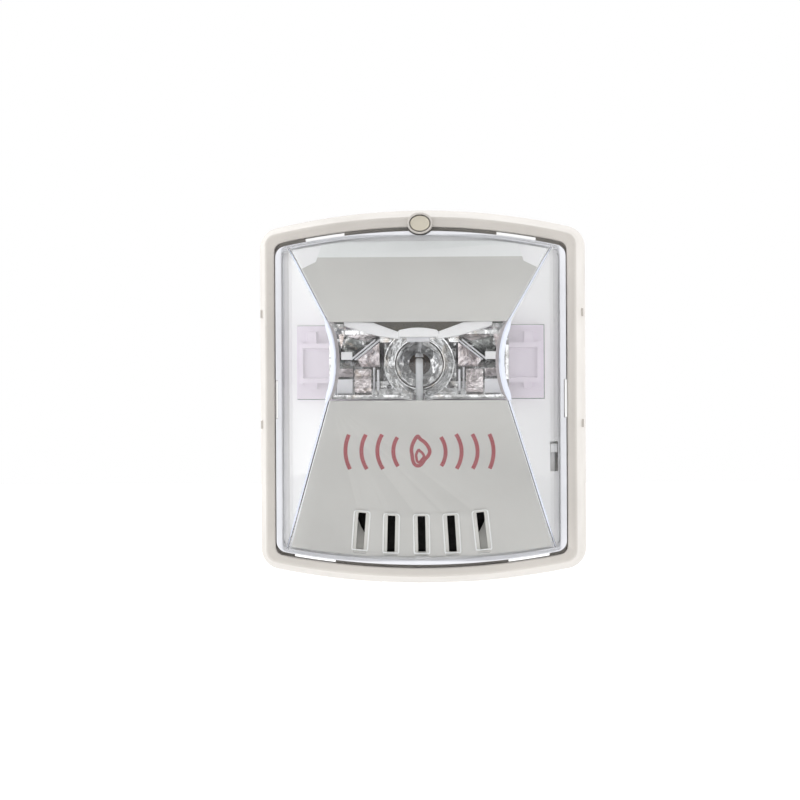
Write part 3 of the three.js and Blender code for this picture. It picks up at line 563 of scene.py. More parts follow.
# ------------------------------------------------------------------ front housing
def housing():
    draft = lambda y: 3.1 * (SKIRT_BACK - y) / (SKIRT_BACK + 20.3)
    w = wall_outline
    secs = [(SKIRT_BACK - 0.25, w(0.02)), (-6, w(draft(-6))), (-13, w(draft(-13))), (-20.3, w(3.1)),
            (-22.2, w(3.34)), (-22.75, w(3.46)), (-23.1, w(3.66)), (-23.33, w(3.92)), (-23.46, w(4.22)), (BEZEL_FACE, w(4.6)),
            (BEZEL_FACE, open_outline(-0.62)), (-23.42, open_outline(-0.3)), (-23.22, open_outline(-0.1)), (-22.9, open_outline(0)),
            (-19.3, open_outline(0)), (-19.08, open_outline(0.08)), (LEDGE_FRONT, open_outline(0.3)),
            (LEDGE_FRONT, outline(LEDGE_W, LEDGE_T, LEDGE_B, 222, 250, 2.0)),
            (LEDGE_BACK, outline(LEDGE_W, LEDGE_T, LEDGE_B, 222, 250, 2.0)),
            (LEDGE_BACK, w(draft(LEDGE_BACK) + WALL)), (SKIRT_BACK, w(WALL + 0.1)), (SKIRT_BACK, w(0.25))]
    body = loft_ring(secs, "housing")
    boss = prism_y(ellipse(0, BOSS_Z, BOSS_A, BOSS_B), BOSS_FRONT, -10.6)
    bevel(boss, 0.45, 4, 40)
    add(body, boss)
    rec = prism_y(ellipse(0, BOSS_Z, 3.75, 3.05), -30, -22.4)
    cut(body, rec, cyl_y(2.95, -24, -12.2, 0, BOSS_Z), cyl_y(2.15, -13, -5, 0, BOSS_Z), cyl_y(3.5, -10.6, -4.0, 0, BOSS_Z))
    def band(x0, x1, z0, sag, wd, sx, sz):
        up, dn = [], []
        for i in range(9):
            x = x0 + (x1 - x0) * i / 8
            z = z0 - x * x / (2 * sag)
            up.append((sx * x, sz * (z + wd / 2)))
            dn.append((sx * x, sz * (z - wd / 2)))
        return up + dn[::-1]
    for sx in (-1, 1):
        cut(body, prism_y(band(26.7, 40.4, 58.72, 226, 1.2, sx, 1), -22, -16),
            prism_y(band(30.4, 44.7, 59.2, 254, 1.15, sx, -1), -22, -16),
            box(min(sx * 49.6, sx * 51.1), max(sx * 49.6, sx * 51.1), -22, -16, -7.3, 5.9))
        for z in (29.6, -9.6):
            nib = box(min(sx * 55.0, sx * 57.2), max(sx * 55.0, sx * 57.2), -10.5, -6.5, z - 1.4, z + 1.4)
            add(body, nib)
    cut(body, box(43, 48.6, -22, -16, -27.5, -14.5), box(-14.8, 14.8, -2.0, 0.5, -70, -63))
    add(body, box(-13, 13, -3.1, -2.0, -65.2, -61.9))
    clean(body, 0.002, 0)
    bevel(body, 0.14, 2, 48, do_clean=False)
    return make(body, "housing_shell", "front_unit", "housing", M_HOUSING, ("front_housing",), 40)

# ------------------------------------------------------------------ the lens form
SAG = LOW_EDGE[0] - WINDOW_APEX
CHORD = (TOP_EDGE[1] - LOW_EDGE[1]) / 2
WINDOW_R = (CHORD ** 2 + SAG ** 2) / (2 * SAG)
WINDOW_C = (WINDOW_APEX + WINDOW_R, (TOP_EDGE[1] + LOW_EDGE[1]) / 2)

def front_profile(o, back=-10, seg=28):
    def line(p, q, inward):
        dy, dz = q[0] - p[0], q[1] - p[1]
        l = math.hypot(dy, dz)
        n = (inward * dz / l, -inward * dy / l)
        return (p[0] + n[0] * o, p[1] + n[1] * o), (dy / l, dz / l)
    top, low = line(TOP_FOOT, TOP_EDGE, -1), line(LOW_EDGE, LOW_FOOT, -1)
    R, c = WINDOW_R - o, WINDOW_C
    def hit(l, sign):
        f = (l[0][0] - c[0], l[0][1] - c[1])
        b = f[0] * l[1][0] + f[1] * l[1][1]
        q = f[0] ** 2 + f[1] ** 2 - R * R
        t = -b + sign * math.sqrt(max(b * b - q, 0))
        return (l[0][0] + l[1][0] * t, l[0][1] + l[1][1] * t)
    far = lambda l, t: (l[0][0] + l[1][0] * t, l[0][1] + l[1][1] * t)
    a, b = hit(top, -1), hit(low, 1)
    pts = [far(top, -14), a]
    t0 = math.atan2(a[1] - c[1], a[0] - c[0])
    t1 = math.atan2(b[1] - c[1], b[0] - c[0])
    if t1 < 0:
        t1 += 2 * math.pi
    for i in range(1, seg):
        t = t0 + (t1 - t0) * i / seg
        pts.append((c[0] + R * math.cos(t), c[1] + R * math.sin(t)))
    pts += [b, far(low, math.hypot(LOW_FOOT[0] - LOW_EDGE[0], LOW_FOOT[1] - LOW_EDGE[1]) + 14)]
    pts += [(back, pts[-1][1]), (back, pts[0][1])]
    return pts

def side_profile(o, back=-10):
    k = math.sqrt(1 + SIDE_K ** 2) * o
    x = lambda y: SIDE_X - k + SIDE_K * (y + 51)
    return [(x(back), back), (-x(back), back), (-x(-60), -60), (x(-60), -60)]

def front_form(o, back=-10):
    return both(prism_x(front_profile(o, back), -70, 70), prism_z(side_profile(o, back), -75, 75))

def lens():
    outer = both(prism_y(lens_outline(0), -62, LENS_BACK), front_form(0))
    bevel(outer, 0.8, 6, 18)
    inner = both(prism_y(lens_outline(0.95), -62, LENS_BACK + 1), front_form(LENS_WALL))
    bevel(inner, 0.4, 4, 18)
    ob = cut(outer, inner, prism_y(ellipse(0, BOSS_Z, BOSS_A + 0.4, BOSS_B + 0.4), -40, -10))
    for x0, z0, x1, z1 in SLOTS:
        cut(ob, prism_y(bar(x0, z0 + 0.6, x1, z1 - 1.2, LENS_SLOT_W, 0, 0.6), -45, -15))
    return make(ob, "lens_cover", "front_unit", "lens", M_LENS, ("clear_lens",), 30)

def lens_ridge_highlights():
    """Pale rods along the lens's two long ridges, widening beside the window: a painted highlight of the ridges'
    rounded edges.
    """
    prof = front_profile(0)
    top, low = prof[1], prof[-4]
    line = lambda a, b, n: [(a[0] + (b[0] - a[0]) * i / n, a[1] + (b[1] - a[1]) * i / n) for i in range(n)]
    first, last = (-27.9, 51.63), (-26.0, -52.2)
    path = line(first, top, 14) + prof[1:-4] + line(low, last, 16) + [last]
    k = math.sqrt(1 + SIDE_K ** 2)
    highlight_parts, edges = [], []
    for s in (-1, 1):
        n_side, e1 = Vector((s / k, -SIDE_K / k, 0)), Vector((s * SIDE_K / k, 1 / k, 0))
        P = [Vector((s * (SIDE_X + SIDE_K * (y + 51)), y, z)) for y, z in path]
        def sweep(sections, name):
            n, m = len(sections), len(sections[0])
            v = [Vector((q.x, max(q.y, -55.97), q.z)) for sec in sections for q in sec]
            f = [(i * m + j, i * m + (j + 1) % m, (i + 1) * m + (j + 1) % m, (i + 1) * m + j) for i in range(n - 1) for j in range(m)]
            f += [tuple(range(m)), tuple(range((n - 1) * m, n * m))[::-1]]
            return from_data(name, [tuple(q) for q in v], f)
        rod = []
        for i, q in enumerate(P):
            t = (P[min(i + 1, len(P) - 1)] - P[max(i - 1, 0)]).normalized()
            inward = (Vector((-s * 0.75, 0.66, 0)) - t * Vector((-s * 0.75, 0.66, 0)).dot(t)).normalized()
            side = t.cross(inward)
            c = q + inward * 0.30
            r = 0.36 * min(1.0, 0.25 + 0.25 * min(i, len(P) - 1 - i))
            rod.append([c + (inward * math.cos(a) + side * math.sin(a)) * r for a in [2 * math.pi * j / 12 for j in range(12)]])
        highlight_parts.append(sweep(rod, "ridge_highlight_rod"))
        # beside the window the ridge's painted highlight broadens into a milky band on the side face
        zs = [(i, q) for i, q in enumerate(P) if -2.6 <= q.z <= 26.8]
        band, shade_strip = [], []
        for i, q in zs:
            u = min(1.0, max(0.0, min(q.z + 2.6, 26.8 - q.z) / 4.0))
            w = 0.5 + 1.9 * u * u * (3 - 2 * u)
            a, b = q - n_side * 0.10, q + e1 * w - n_side * 0.10
            band.append([a + n_side * 0.20, a - n_side * 0.10, b - n_side * 0.10, b + n_side * 0.20])
            # painted shade: a grey strip inside the lens, just within each ridge beside the window
            g = q + Vector((-s * 0.55, 0.35, 0))
            h = g + Vector((-s * (0.15 + 0.95 * u), 0.0, 0))
            shade_strip.append([g, g + Vector((0, 0.25, 0)), h + Vector((0, 0.25, 0)), h])
        highlight_parts.append(sweep(band, "band"))
        edges.append(sweep(shade_strip, "edge"))
    make(joined(edges), "lens_ridge_shade_strips", "front_unit", "panel", M_RIDGE_SHADE, (), 40, weighted=False)
    return make(joined(highlight_parts), "lens_ridge_highlights", "front_unit", "panel", M_RIDGE_HIGHLIGHT, (), 40, weighted=False)

# ------------------------------------------------------------------ hourglass panel behind the lens
def hourglass(d):
    return [(46.6 - d, 54.0 - d), (-46.6 + d, 54.0 - d), (-30.5 + d, 25.2), (-30.5 + d, -0.9),
            (-46.6 + d, -55.4 + d), (46.6 - d, -55.4 + d), (30.5 - d, -0.9), (30.5 - d, 25.2)]

def horn_disc(r, y0, y1, d, seg=96):
    return both(cyl_y(r, y0, y1, 0, HORN_Z, seg), box(-40, 40, -30, -5, HORN_FLAT + d, 10))

def panel():
    o = LENS_WALL + PANEL_GAP
    tower = both(prism_y(hourglass(0), -60, FLOOR_FRONT + 0.4), front_form(o), prism_y(lens_outline(o), -60, -15))
    bevel(tower, 0.5, 4, 18)
    # a shallow step across the top, and deeper recesses in its two corners
    step = cut(box(-60, 60, -60, -15, 48.2, 70), front_form(o + 0.35))
    cut(tower, step)
    for s in (-1, 1):
        pts = [(s * 33.6, 60.0), (s * 34.0, 54.3), (s * 36.1, 46.6), (s * 41.8, 43.7), (s * 52.0, 50.0), (s * 52.0, 60.0)]
        cut(tower, cut(prism_y(pts if s > 0 else pts[::-1], -60, -15), front_form(o + 0.9)))
    hollow = both(prism_y(hourglass(1.6), -60, -15), prism_x(front_profile(o + PANEL_T), -70, 70), prism_y(lens_outline(o + 1.6), -60, -14))
    cut(hollow, box(-60, 60, FLOOR_FRONT, -10, -60, -7.0))
    add(hollow, horn_disc(HORN_R - 1.3, FLOOR_FRONT - 0.2, -18, 1.3))
    rim = prism_y(outline(FLOOR_W, FLOOR_T, FLOOR_B, 221, 249, 2.0), FLOOR_FRONT, FLOOR_BACK)
    p = add(tower, rim)
    cut(p, hollow, box(-42.5, 42.5, -60, -15, -0.9, 25.2))
    for x0, z0, x1, z1 in SLOTS:
        cut(p, prism_y(bar(x0, z0, x1, z1, SLOT_W, 0, 0.25), -50, FLOOR_FRONT - 0.05))
    cut(p, prism_y(ellipse(0, BOSS_Z, BOSS_A + 0.9, BOSS_B + 0.9), -40, -10))
    for x, z in POSTS:
        add(p, cyl_y(2.3, FLOOR_BACK - 0.5, -17.0, x, z, 32))
        cut(p, cyl_y(1.5, -20.4, -16, x, z, 24))
    cut(p, box(CANDELA[0] - 1.4, CANDELA[0] + 1.4, -24, -18, CANDELA[1] - 5.2, CANDELA[1] + 5.2))
    clean(p, 0.002, 0)
    bevel(p, 0.12, 2, 50, do_clean=False)
    ob = make(p, "panel_shell", "front_unit", "panel", M_PANEL, ("hourglass_panel",), 35)
    ob.data.materials.append(M_PANEL_PAINTED_LIGHT)
    ob.data.materials.append(M_PAINTED_HIGHLIGHT)
    # painted light: front-facing floor faces, the tower's sideways-facing walls and the corner recesses get near-white
    # (material 1)
    for f in ob.data.polygons:
        c, n = f.center / MM, f.normal
        corner = c.z > 43.5 and abs(c.x) > 33.8 and abs(c.x) > 34.0 + (54.3 - c.z) * 0.27
        if c.z > 43.5 and abs(c.x) > 36.1:
            corner = c.z > 46.6 - (abs(c.x) - 36.1) * 0.51
        if (c.y > -22.0 and n.y < -0.8 and not (abs(c.x) < 27 and c.z < -30)) or (abs(n.x) > 0.5 and c.y < -22.0 and abs(c.x) > 26) or (corner and c.y < -22.0):
            f.material_index = 1
        # painted reflection: the strip above the top step gets the lighter band finish (material 2)
        elif c.z > 48.15 and c.y < -22:
            f.material_index = 2
    return ob

# the lower slope of the panel: y of its face at height z, moved out by d
def slope_y(z, o, d=0.0):
    dy, dz = LOW_FOOT[0] - LOW_EDGE[0], LOW_FOOT[1] - LOW_EDGE[1]
    l = math.hypot(dy, dz)
    n = (-dz / l, dy / l)             # inwards
    py, pz = LOW_EDGE[0] + n[0] * (o - d), LOW_EDGE[1] + n[1] * (o - d)
    return py + (z - pz) * dy / dz

def ribbon(points, w, name, closed=False):
    """A printed stroke on the panel's lower slope: a thin band following (x, z) points."""
    n = len(points)
    v, f = [], []
    for i in range(n):
        p = Vector(points[i])
        a = Vector(points[(i - 1) % n] if closed or i > 0 else points[i])
        b = Vector(points[(i + 1) % n] if closed or i < n - 1 else points[i])
        t = (b - a).normalized()
        nrm = Vector((-t.y, t.x)) * w / 2
        for q in (p + nrm, p - nrm):
            for d in (-0.02, 0.05):
                v.append((q.x, slope_y(q.y, LENS_WALL + PANEL_GAP, d), q.y))
    m = n if closed else n - 1
    for i in range(m):
        a, b = 4 * i, 4 * ((i + 1) % n)
        f += [(a + 1, b + 1, b + 3, a + 3), (a, a + 2, b + 2, b), (a, b, b + 1, a + 1), (a + 2, a + 3, b + 3, b + 2)]
    if not closed:
        f += [(0, 1, 3, 2), (4 * n - 4, 4 * n - 2, 4 * n - 1, 4 * n - 3)]
    return from_data(name, v, f)

def slot_edge_highlights():
    """A thin raised line round each horn slot, in the pale highlight finish: a painted highlight of the lens's cut slot
    edges.
    """
    objs = []
    for x0, z0, x1, z1 in SLOTS:
        t = Vector((x1 - x0, z1 - z0)).normalized()
        n = Vector((-t.y, t.x))
        w, r = 2.75, 0.9
        loc = []
        L0, L1 = -0.9, (Vector((x1, z1)) - Vector((x0, z0))).length + 0.3
        for cx, cy, d0 in ((L1 - r, w - r, 0), (L0 + r, w - r, 90), (L0 + r, -w + r, 180), (L1 - r, -w + r, 270)):
            for i in range(5):
                an = math.radians(d0 + 90 * i / 4)
                loc.append((cx + r * math.cos(an), cy + r * math.sin(an)))
        o = Vector((x0, z0))
        pts = [tuple(o + t * u + n * v) for u, v in loc]
        objs.append(ribbon(pts, 0.42, "ring", True))
    return make(joined(objs), "slot_edge_highlights", "front_unit", "panel", M_PAINTED_HIGHLIGHT, (), 30, weighted=False)

def pictogram():
    """A plain alarm sign of the builder's own: a flame with sound arcs on both sides."""
    objs, zc = [], -18.6
    fl = []
    N = 40
    for i in range(N):
        t = i / N * 2 * math.pi
        r = 4.4 * (1 - 0.16 * math.sin(3 * t + 0.6))
        x, z = r * math.sin(t) * 0.72, r * math.cos(t)
        if z > 0:
            x *= 1 - 0.72 * (z / 5.0) ** 1.3
            z *= 1.22
        fl.append((x, zc + z))
    objs.append(ribbon(fl, 1.25, "flame", True))
    inner = [(x * 0.42, zc - 1.6 + (z - zc) * 0.42) for x, z in fl]
    objs.append(ribbon(inner, 0.9, "flame_in", True))
    for s in (-1, 1):
        for k, r in enumerate((9.0, 14.5, 20.0, 25.5)):
            half = math.radians(34 - 5 * k)
            pts = [(s * r * math.cos(a), zc + r * math.sin(a)) for a in [(-half + 2 * half * i / 16) for i in range(17)]]
            sc = min(1.0, 6.0 / (r * math.sin(half)))
            pts = [(x, zc + (z - zc) * sc) for x, z in pts]
            objs.append(ribbon(pts, 1.35, "arc"))
    bpy.ops.object.select_all(action="DESELECT")
    for ob in objs:
        ob.select_set(True)
    bpy.context.view_layer.objects.active = objs[0]
    bpy.ops.object.join()
    ob = objs[0]
    return make(ob, "printed_sign", "front_unit", "red_plastic", M_INK, (), 30, weighted=False)

# ------------------------------------------------------------------ strobe: reflector, tube, frame
def ball(r, cx, cy, cz, seg=64):
    bm = bmesh.new()
    bmesh.ops.create_uvsphere(bm, u_segments=seg, v_segments=seg // 2, radius=r)
    me = bpy.data.meshes.new("ball")
    bm.to_mesh(me)
    bm.free()
    me.transform(Matrix.Translation((cx, cy, cz)))
    return link("ball", me)

def reflector():
    # the two slopes are stepped into facets, each a little concave, as the real mirror is
    top, low = [], []
    trough = prism_x([(-48.6, 24.6), (-26.0, 18.0), (-26.0, 5.6), (-48.6, -0.2), (-48.6, 1.0), (-42.5, 1.6), (-42.3, 3.0), (-35.5, 4.3),
                      (-35.3, 5.4), (-27.4, 6.8), (-27.4, 16.8), (-35.3, 18.9), (-35.5, 20.1), (-42.3, 21.4), (-42.5, 22.6), (-48.6, 23.4)], -41.2, 41.2)
    plan = prism_z([(-29.5, -48.7), (-41.1, -30.4), (-41.1, -20), (41.1, -20), (41.1, -30.4), (29.5, -48.7)], -5, 30)
    r = both(trough, plan)
    prof = [(12.35, -38.9), (12.1, -39.3), (11.75, -39.2), (8.75, -35.3), (8.5, -35.2), (8.35, -34.6)]
    arc = lambda R, a: (R * math.sin(math.radians(a)), -42.9 + R * math.cos(math.radians(a)))
    prof += [arc(12.0, t) for t in (42, 38, 34, 30, 26, 22, 18.3)]
    prof += [arc(12.7, t) for t in (17.3, 22, 28, 34, 40)] + [(8.9, -34.0), (9.3, -34.2), (12.35, -38.0)]
    bowl = lathe_y(prof, 0, 11.4, 96)
    cut(r, cyl_y(11.9, -60, -25.6, 0, 11.4, 96))
    add(r, bowl)
    for s in (-1, 1):
        a, b = sorted((s * 39.9, s * 41.1))
        add(r, box(a, b, -30.2, -26.5, 4.6, 19.0))
        # folded wings beside the bowl: a bright V with a ridge, closing the trough to the side
        wing = [(s * 12.6, -30.0), (s * 17.2, -38.4), (s * 22.4, -33.0), (s * 29.0, -41.5), (s * 31.6, -38.6), (s * 31.6, -37.2), (s * 29.0, -40.0), (s * 22.4, -31.6), (s * 17.2, -36.9), (s * 12.6, -28.8)]
        add(r, prism_z(wing if s > 0 else wing[::-1], 6.0, 17.8))
    cut(r, box(-25.5, 25.5, -60, -43.4, 18.5, 27))
    cut(r, cyl_y(3.4, -30, -18, 0, 12.0), cyl_z(2.2, -3, 9, 0, TUBE_Y), box(-50, 50, -60, -10, -5, -0.25))
    clean(r, 0.002, 0)
    ends = r.copy()
    ends.data = r.data.copy()
    scene.collection.objects.link(ends)
    both(r, box(-30.0, 30.0, -60, -10, -10, 40))
    cut(ends, box(-30.1, 30.1, -60, -10, -10, 40), box(-60, 60, -60, -28.6, -10, 40))
    for ob in (r, ends):
        clean(ob, 0.002, 0)
        bevel(ob, 0.14, 2, 40, do_clean=False)
    make(ends, "reflector_ends", "front_unit", "reflector", M_CARRIER, (), 30)
    return make(r, "reflector_mirror", "front_unit", "reflector", M_CHROME, ("strobe_reflector",), 30)

def joined(objs):
    bpy.ops.object.select_all(action="DESELECT")
    for ob in objs:
        ob.select_set(True)
    bpy.context.view_layer.objects.active = objs[0]
    if len(objs) > 1:
        bpy.ops.object.join()
    return objs[0]

def bevelled(ob, w=0.2, seg=2):
    return bevel(ob, w, seg, 30)

def window_frame():
    """White frame inside the window: two sloping flanges, the arched middle boss and its neck, blocks and ribs."""
    parts, white, fins = [], [], []
    for s in (-1, 1):
        pts = [(s * 25.4, 25.5), (s * 15.4, 25.0), (s * 6.2, 21.8), (s * 6.2, 19.6), (s * 13.5, 20.6), (s * 25.4, 24.0)]
        white.append(bevelled(prism_y(pts if s > 0 else pts[::-1], -48.0, -43.5), 0.3, 3))
    arch = [(-6.9, 20.2), (-6.9, 22.1)] + [(-6.3 + 12.6 * i / 12, 22.6 + 0.75 * math.sin(math.pi * i / 12)) for i in range(13)] + [(6.9, 22.1), (6.9, 20.2)]
    white.append(bevelled(prism_y(arch, -48.6, -42.5), 0.35, 3))
    parts.append(bevelled(box(-4.0, 4.0, -47.6, -42.0, 18.7, 20.2)))
    for s in (-1, 1):
        a, b = sorted((s * 22.6, s * 28.0))
        parts.append(bevelled(box(a, b, -45.5, -41.0, 1.4, 6.2), 0.3, 3))
        a, b = sorted((s * 22.8, s * 26.6))
        white.append(bevelled(box(a, b, -43.6, -42.4, 12.8, 15.5), 0.2, 2))
        # finned column
        a, b = sorted((s * 16.3, s * 22.0))
        fins.append(bevelled(box(a, b, -43.8, -40.5, 1.6, 9.6), 0.2, 2))
        for k in range(4):
            fins.append(bevelled(box(a - 0.15, b + 0.15, -44.6, -43.6, 2.1 + 2.0 * k, 3.2 + 2.0 * k), 0.12, 2))
        a, b = sorted((s * 13.6, s * 14.3))
        parts.append(bevelled(box(a, b, -44.0, -38.0, 2.2, 9.4), 0.15, 2))
        a, b = sorted((s * 15.1, s * 15.7))
        parts.append(bevelled(box(a, b, -43.0, -38.0, 2.2, 10.2), 0.15, 2))
        # diagonal double ridge
        for d in (0.0, 1.5):
            pts = [(s * (21.6 + d), 12.6), (s * (13.4 + d), 19.2), (s * (13.4 + d), 19.9), (s * (22.2 + d), 12.9)]
            parts.append(bevelled(prism_y(pts if s > 0 else pts[::-1], -43.5, -39.5), 0.12, 2))
    make(joined(fins), "window_fins", "front_unit", "reflector", M_WING, (), 35)
    make(joined(white), "window_flange", "front_unit", "panel", M_FLANGE, (), 35)
    ob = joined(parts)
    return make(ob, "window_frame", "front_unit", "panel", M_FRAME, (), 35)

def boot():
    ob = lathe_y([(0.7, -30.6), (1.2, -30.9), (1.8, -30.6), (2.1, -29.4), (2.9, -29.0), (4.4, -28.9), (4.4, -26.4), (0.7, -26.4)], 0, 11.8, 64)
    return make(ob, "electrode_boot", "front_unit", "gasket", M_BOOT, (), 40)

def olive_strip():
    # painted shadow: a thin dark olive sheet across the top of the window
    pts = [(-19.5, 25.6), (-16.0, 23.0), (-7.2, 20.9), (7.2, 20.9), (16.0, 23.0), (19.5, 25.6)]
    ob = bevelled(prism_y(pts, -43.6, -42.8), 0.15, 2)
    return make(ob, "window_header_shadow", "front_unit", "panel", M_OLIVE, (), 35)

def facet(pts, y0, tilt_x=0.0, tilt_z=0.0, t=0.5, name="facet"):
    """A thin mirror plate over (x, z) points, leaning by tilt per mm from the points' middle."""
    cx = sum(p[0] for p in pts) / len(pts)
    cz = sum(p[1] for p in pts) / len(pts)
    n = len(pts)
    y = [y0 + tilt_x * (x - cx) + tilt_z * (z - cz) for x, z in pts]
    v = [(x, yy, z) for (x, z), yy in zip(pts, y)] + [(x, yy + t, z) for (x, z), yy in zip(pts, y)]
    f = [tuple(range(n)), tuple(range(2 * n - 1, n - 1, -1))]
    f += [(i, (i + 1) % n, n + (i + 1) % n, n + i) for i in range(n)]
    return bevelled(from_data(name, v, f), 0.1, 2)

def wings():
    """Folded mirror facets on both sides of the bowl."""
    bright, dark = [], []
    for s in (-1, 1):
        k = lambda pts: [(s * x, z) for x, z in pts][::s]
        dark.append(facet(k([(24.7, 20.6), (17.6, 18.8), (23.3, 13.4), (26.2, 16.4)]), -41.6, s * 0.25, -0.55))
        bright.append(facet(k([(24.3, 23.6), (14.0, 20.9), (18.0, 19.0), (24.5, 20.7)]), -42.4, s * 0.05, 0.75))
        bright.append(facet(k([(21.9, 12.9), (13.5, 18.6), (13.5, 10.4), (21.9, 10.4)]), -40.6, s * 0.35, -0.25))
        bright.append(facet(k([(28.6, 25.0), (24.8, 25.0), (26.6, 16.6)]), -40.8, s * 0.7, 0.2))
        dark.append(facet(k([(28.4, 12.6), (22.2, 12.6), (22.2, 10.0), (28.4, 10.0)]), -41.0, 0.0, 0.6))
        bright.append(facet(k([(28.4, 9.8), (22.6, 9.8), (22.6, 7.0), (28.4, 7.0)]), -42.0, 0.0, -0.5))
    a = make(joined(bright), "wing_mirrors", "front_unit", "reflector", M_WING, (), 30)
    b = make(joined(dark), "wing_mirrors_shaded", "front_unit", "reflector", M_WINGDARK, (), 30)
    return a, b

def gasket():
    # painted light: the gasket is near-white so the band under the lens rim reads bright
    sec = [(-19.15, lens_outline(-0.25)), (-19.9, lens_outline(-0.25)), (-20.0, lens_outline(-0.1)), (-20.05, lens_outline(1.05)), (-21.2, lens_outline(1.1)), (-21.35, lens_outline(1.25)),
           (-21.35, lens_outline(2.5)), (-21.25, lens_outline(2.6)), (-19.15, lens_outline(2.6))]
    ob = cut(loft_ring(sec), prism_y(ellipse(0, BOSS_Z, BOSS_A + 0.5, BOSS_B + 0.5), -40, -10))
    # painted highlight: a pale lip in front of the lens rim, reaching to the bezel, stands in for the rim's highlight
    wide = lambda d: outline(LENS_W + 0.75 - d, LENS_T + 0.5 - d, LENS_B - 0.5 + d, 224.5 - d, 252.5 - d, 3.9)
    lip = loft_ring([(-20.35, wide(0)), (-23.1, wide(0)), (-23.32, wide(0.1)), (-23.42, wide(0.35)),
                     (-23.42, lens_outline(1.1)), (-23.3, lens_outline(1.4)), (-22.9, lens_outline(1.5)), (-20.35, lens_outline(1.5))])
    cut(lip, prism_y(ellipse(0, BOSS_Z, BOSS_A + 0.5, BOSS_B + 0.5), -40, -10))
    for s in (-1, 1):
        a, b = sorted((s * 50.0, s * 53.0))
        cut(lip, box(a, b, -30, -15, -7.4, 6.0))
    make(lip, "rim_highlight_lip", "front_unit", "gasket", M_RIM_HIGHLIGHT, (), 35)
    return make(ob, "gasket_ring", "front_unit", "gasket", M_GASKET_PAINTED_LIGHT, ("lens_gasket",), 35)

def backing():
    """The pale carrier behind the mirror; it closes the window of the panel."""
    p = prism_y(round_rect(-42.2, 42.2, -0.6, 24.9, 0.8), -25.9, -25.3)
    add(p, cut(box(-42.2, 42.2, -25.6, -20.4, -0.6, 24.9), box(-41.4, 41.4, -27, -19, 0.2, 24.1)))
    cut(p, cyl_y(4.6, -28, -20, 0, 11.8, 64))
    for s in (-1, 1):
        for x, z, w, h in ((35.3, 20.6, 3.4, 4.6), (35.0, 4.2, 3.0, 2.6)):
            a, b = sorted((s * x, s * (x + w)))
            add(p, bevelled(box(a, b, -27.2, -25.6, z - h / 2, z + h / 2), 0.2, 2))
    bevelled(p, 0.12, 2)
    return make(p, "mirror_carrier", "front_unit", "panel", M_CARRIER, (), 35)

def tube():
    bm_pts = [(0.0, -3.6)]
    R = TUBE_R
    for i in range(7):
        a = i / 6 * math.pi / 2
        bm_pts.append((R - 0.35 + 0.35 * math.sin(a), -3.6 + 0.35 - 0.35 * math.cos(a)))
    for i in range(9):
        a = i / 8 * math.pi / 2
        bm_pts.append((R - 0.8 + 0.8 * math.cos(a), 13.4 - 0.8 + 0.8 * math.sin(a)))
    bm_pts.append((0.0, 13.4))
    v, f, rings, seg = [], [], [], 48
    for r, z in bm_pts:
        if r < 1e-6:
            rings.append([len(v)]); v.append((0, TUBE_Y, z))
        else:
            rings.append([len(v) + k for k in range(seg)])
            v += [(r * math.cos(2 * math.pi * k / seg), TUBE_Y + r * math.sin(2 * math.pi * k / seg), z) for k in range(seg)]
    for a, b in zip(rings, rings[1:]):
        for k in range(seg):
            j = (k + 1) % seg
            if len(a) == 1: f.append((a[0], b[j], b[k]))
            elif len(b) == 1: f.append((a[k], a[j], b[0]))
            else: f.append((a[k], a[j], b[j], b[k]))
    return make(from_data("tube", v, f), "xenon_tube", "front_unit", "tube_glass", M_TUBE, ("flash_tube",), 50, weighted=False)

def horn_screen():
    disc = horn_disc(HORN_R - 1.6, -18.3, -18.9, 1.6)
    ob = bevelled(disc, 0.15, 2)
    return make(ob, "horn_mesh", "front_unit", "screen", M_SCREEN, ("horn_screen",), 35)

def screw_cap():
    cap = prism_y(ellipse(0, BOSS_Z, 3.4, 2.7, 64), -24.0, -22.8)
    dish = ball(14, 0, -24.0 - 13.45, BOSS_Z, 64)
    cut(cap, dish)
    bevel(cap, 0.16, 3, 40)
    return make(cap, "cap_dished", "cap_plug", "cap", M_CAP, ("screw_cap",), 35)

# ------------------------------------------------------------------ special finishes
def ink():
    m = Mat("red_ink")
    c = lin((152, 20, 38))
    col = m.mix(m.mapr(m.noise(700, 4, 0.7), 0.35, 0.7, 0, 0.5), c, lin((166, 36, 52)))
    m.link(col, m.b.inputs["Base Color"])
    m.link(m.mapr(m.noise(900, 3, 0.6), 0.3, 0.7, 0.36, 0.55), m.b.inputs["Roughness"])
    m.link(m.bump(m.noise(2200, 2, 0.6), 0.15, 0.00003), m.b.inputs["Normal"])
    return m.m

def screen_mat():
    """Black acoustic cloth over a perforated disc."""
    m = Mat("horn_cloth")
    x = m.n("ShaderNodeTexVoronoi", feature="F1", distance="EUCLIDEAN")
    x.inputs["Scale"].default_value = 900
    x.inputs["Randomness"].default_value = 0.15
    m.link(m.coord, x.inputs["Vector"])
    holes = m.mapr(x.outputs["Distance"], 0.25, 0.45, 0, 1)
    col = m.mix(holes, (0.010, 0.009, 0.010, 1), lin((30, 27, 29)))
    col = m.mix(m.mapr(m.noise(90, 4, 0.6), 0.45, 0.7, 0, 0.5), col, lin((38, 34, 34)))
    m.link(col, m.b.inputs["Base Color"])
    m.link(m.mapr(m.noise(400, 3, 0.6), 0.3, 0.7, 0.7, 0.9), m.b.inputs["Roughness"])
    m.link(m.bump(holes, 0.6, 0.0001), m.b.inputs["Normal"])
    return m.m

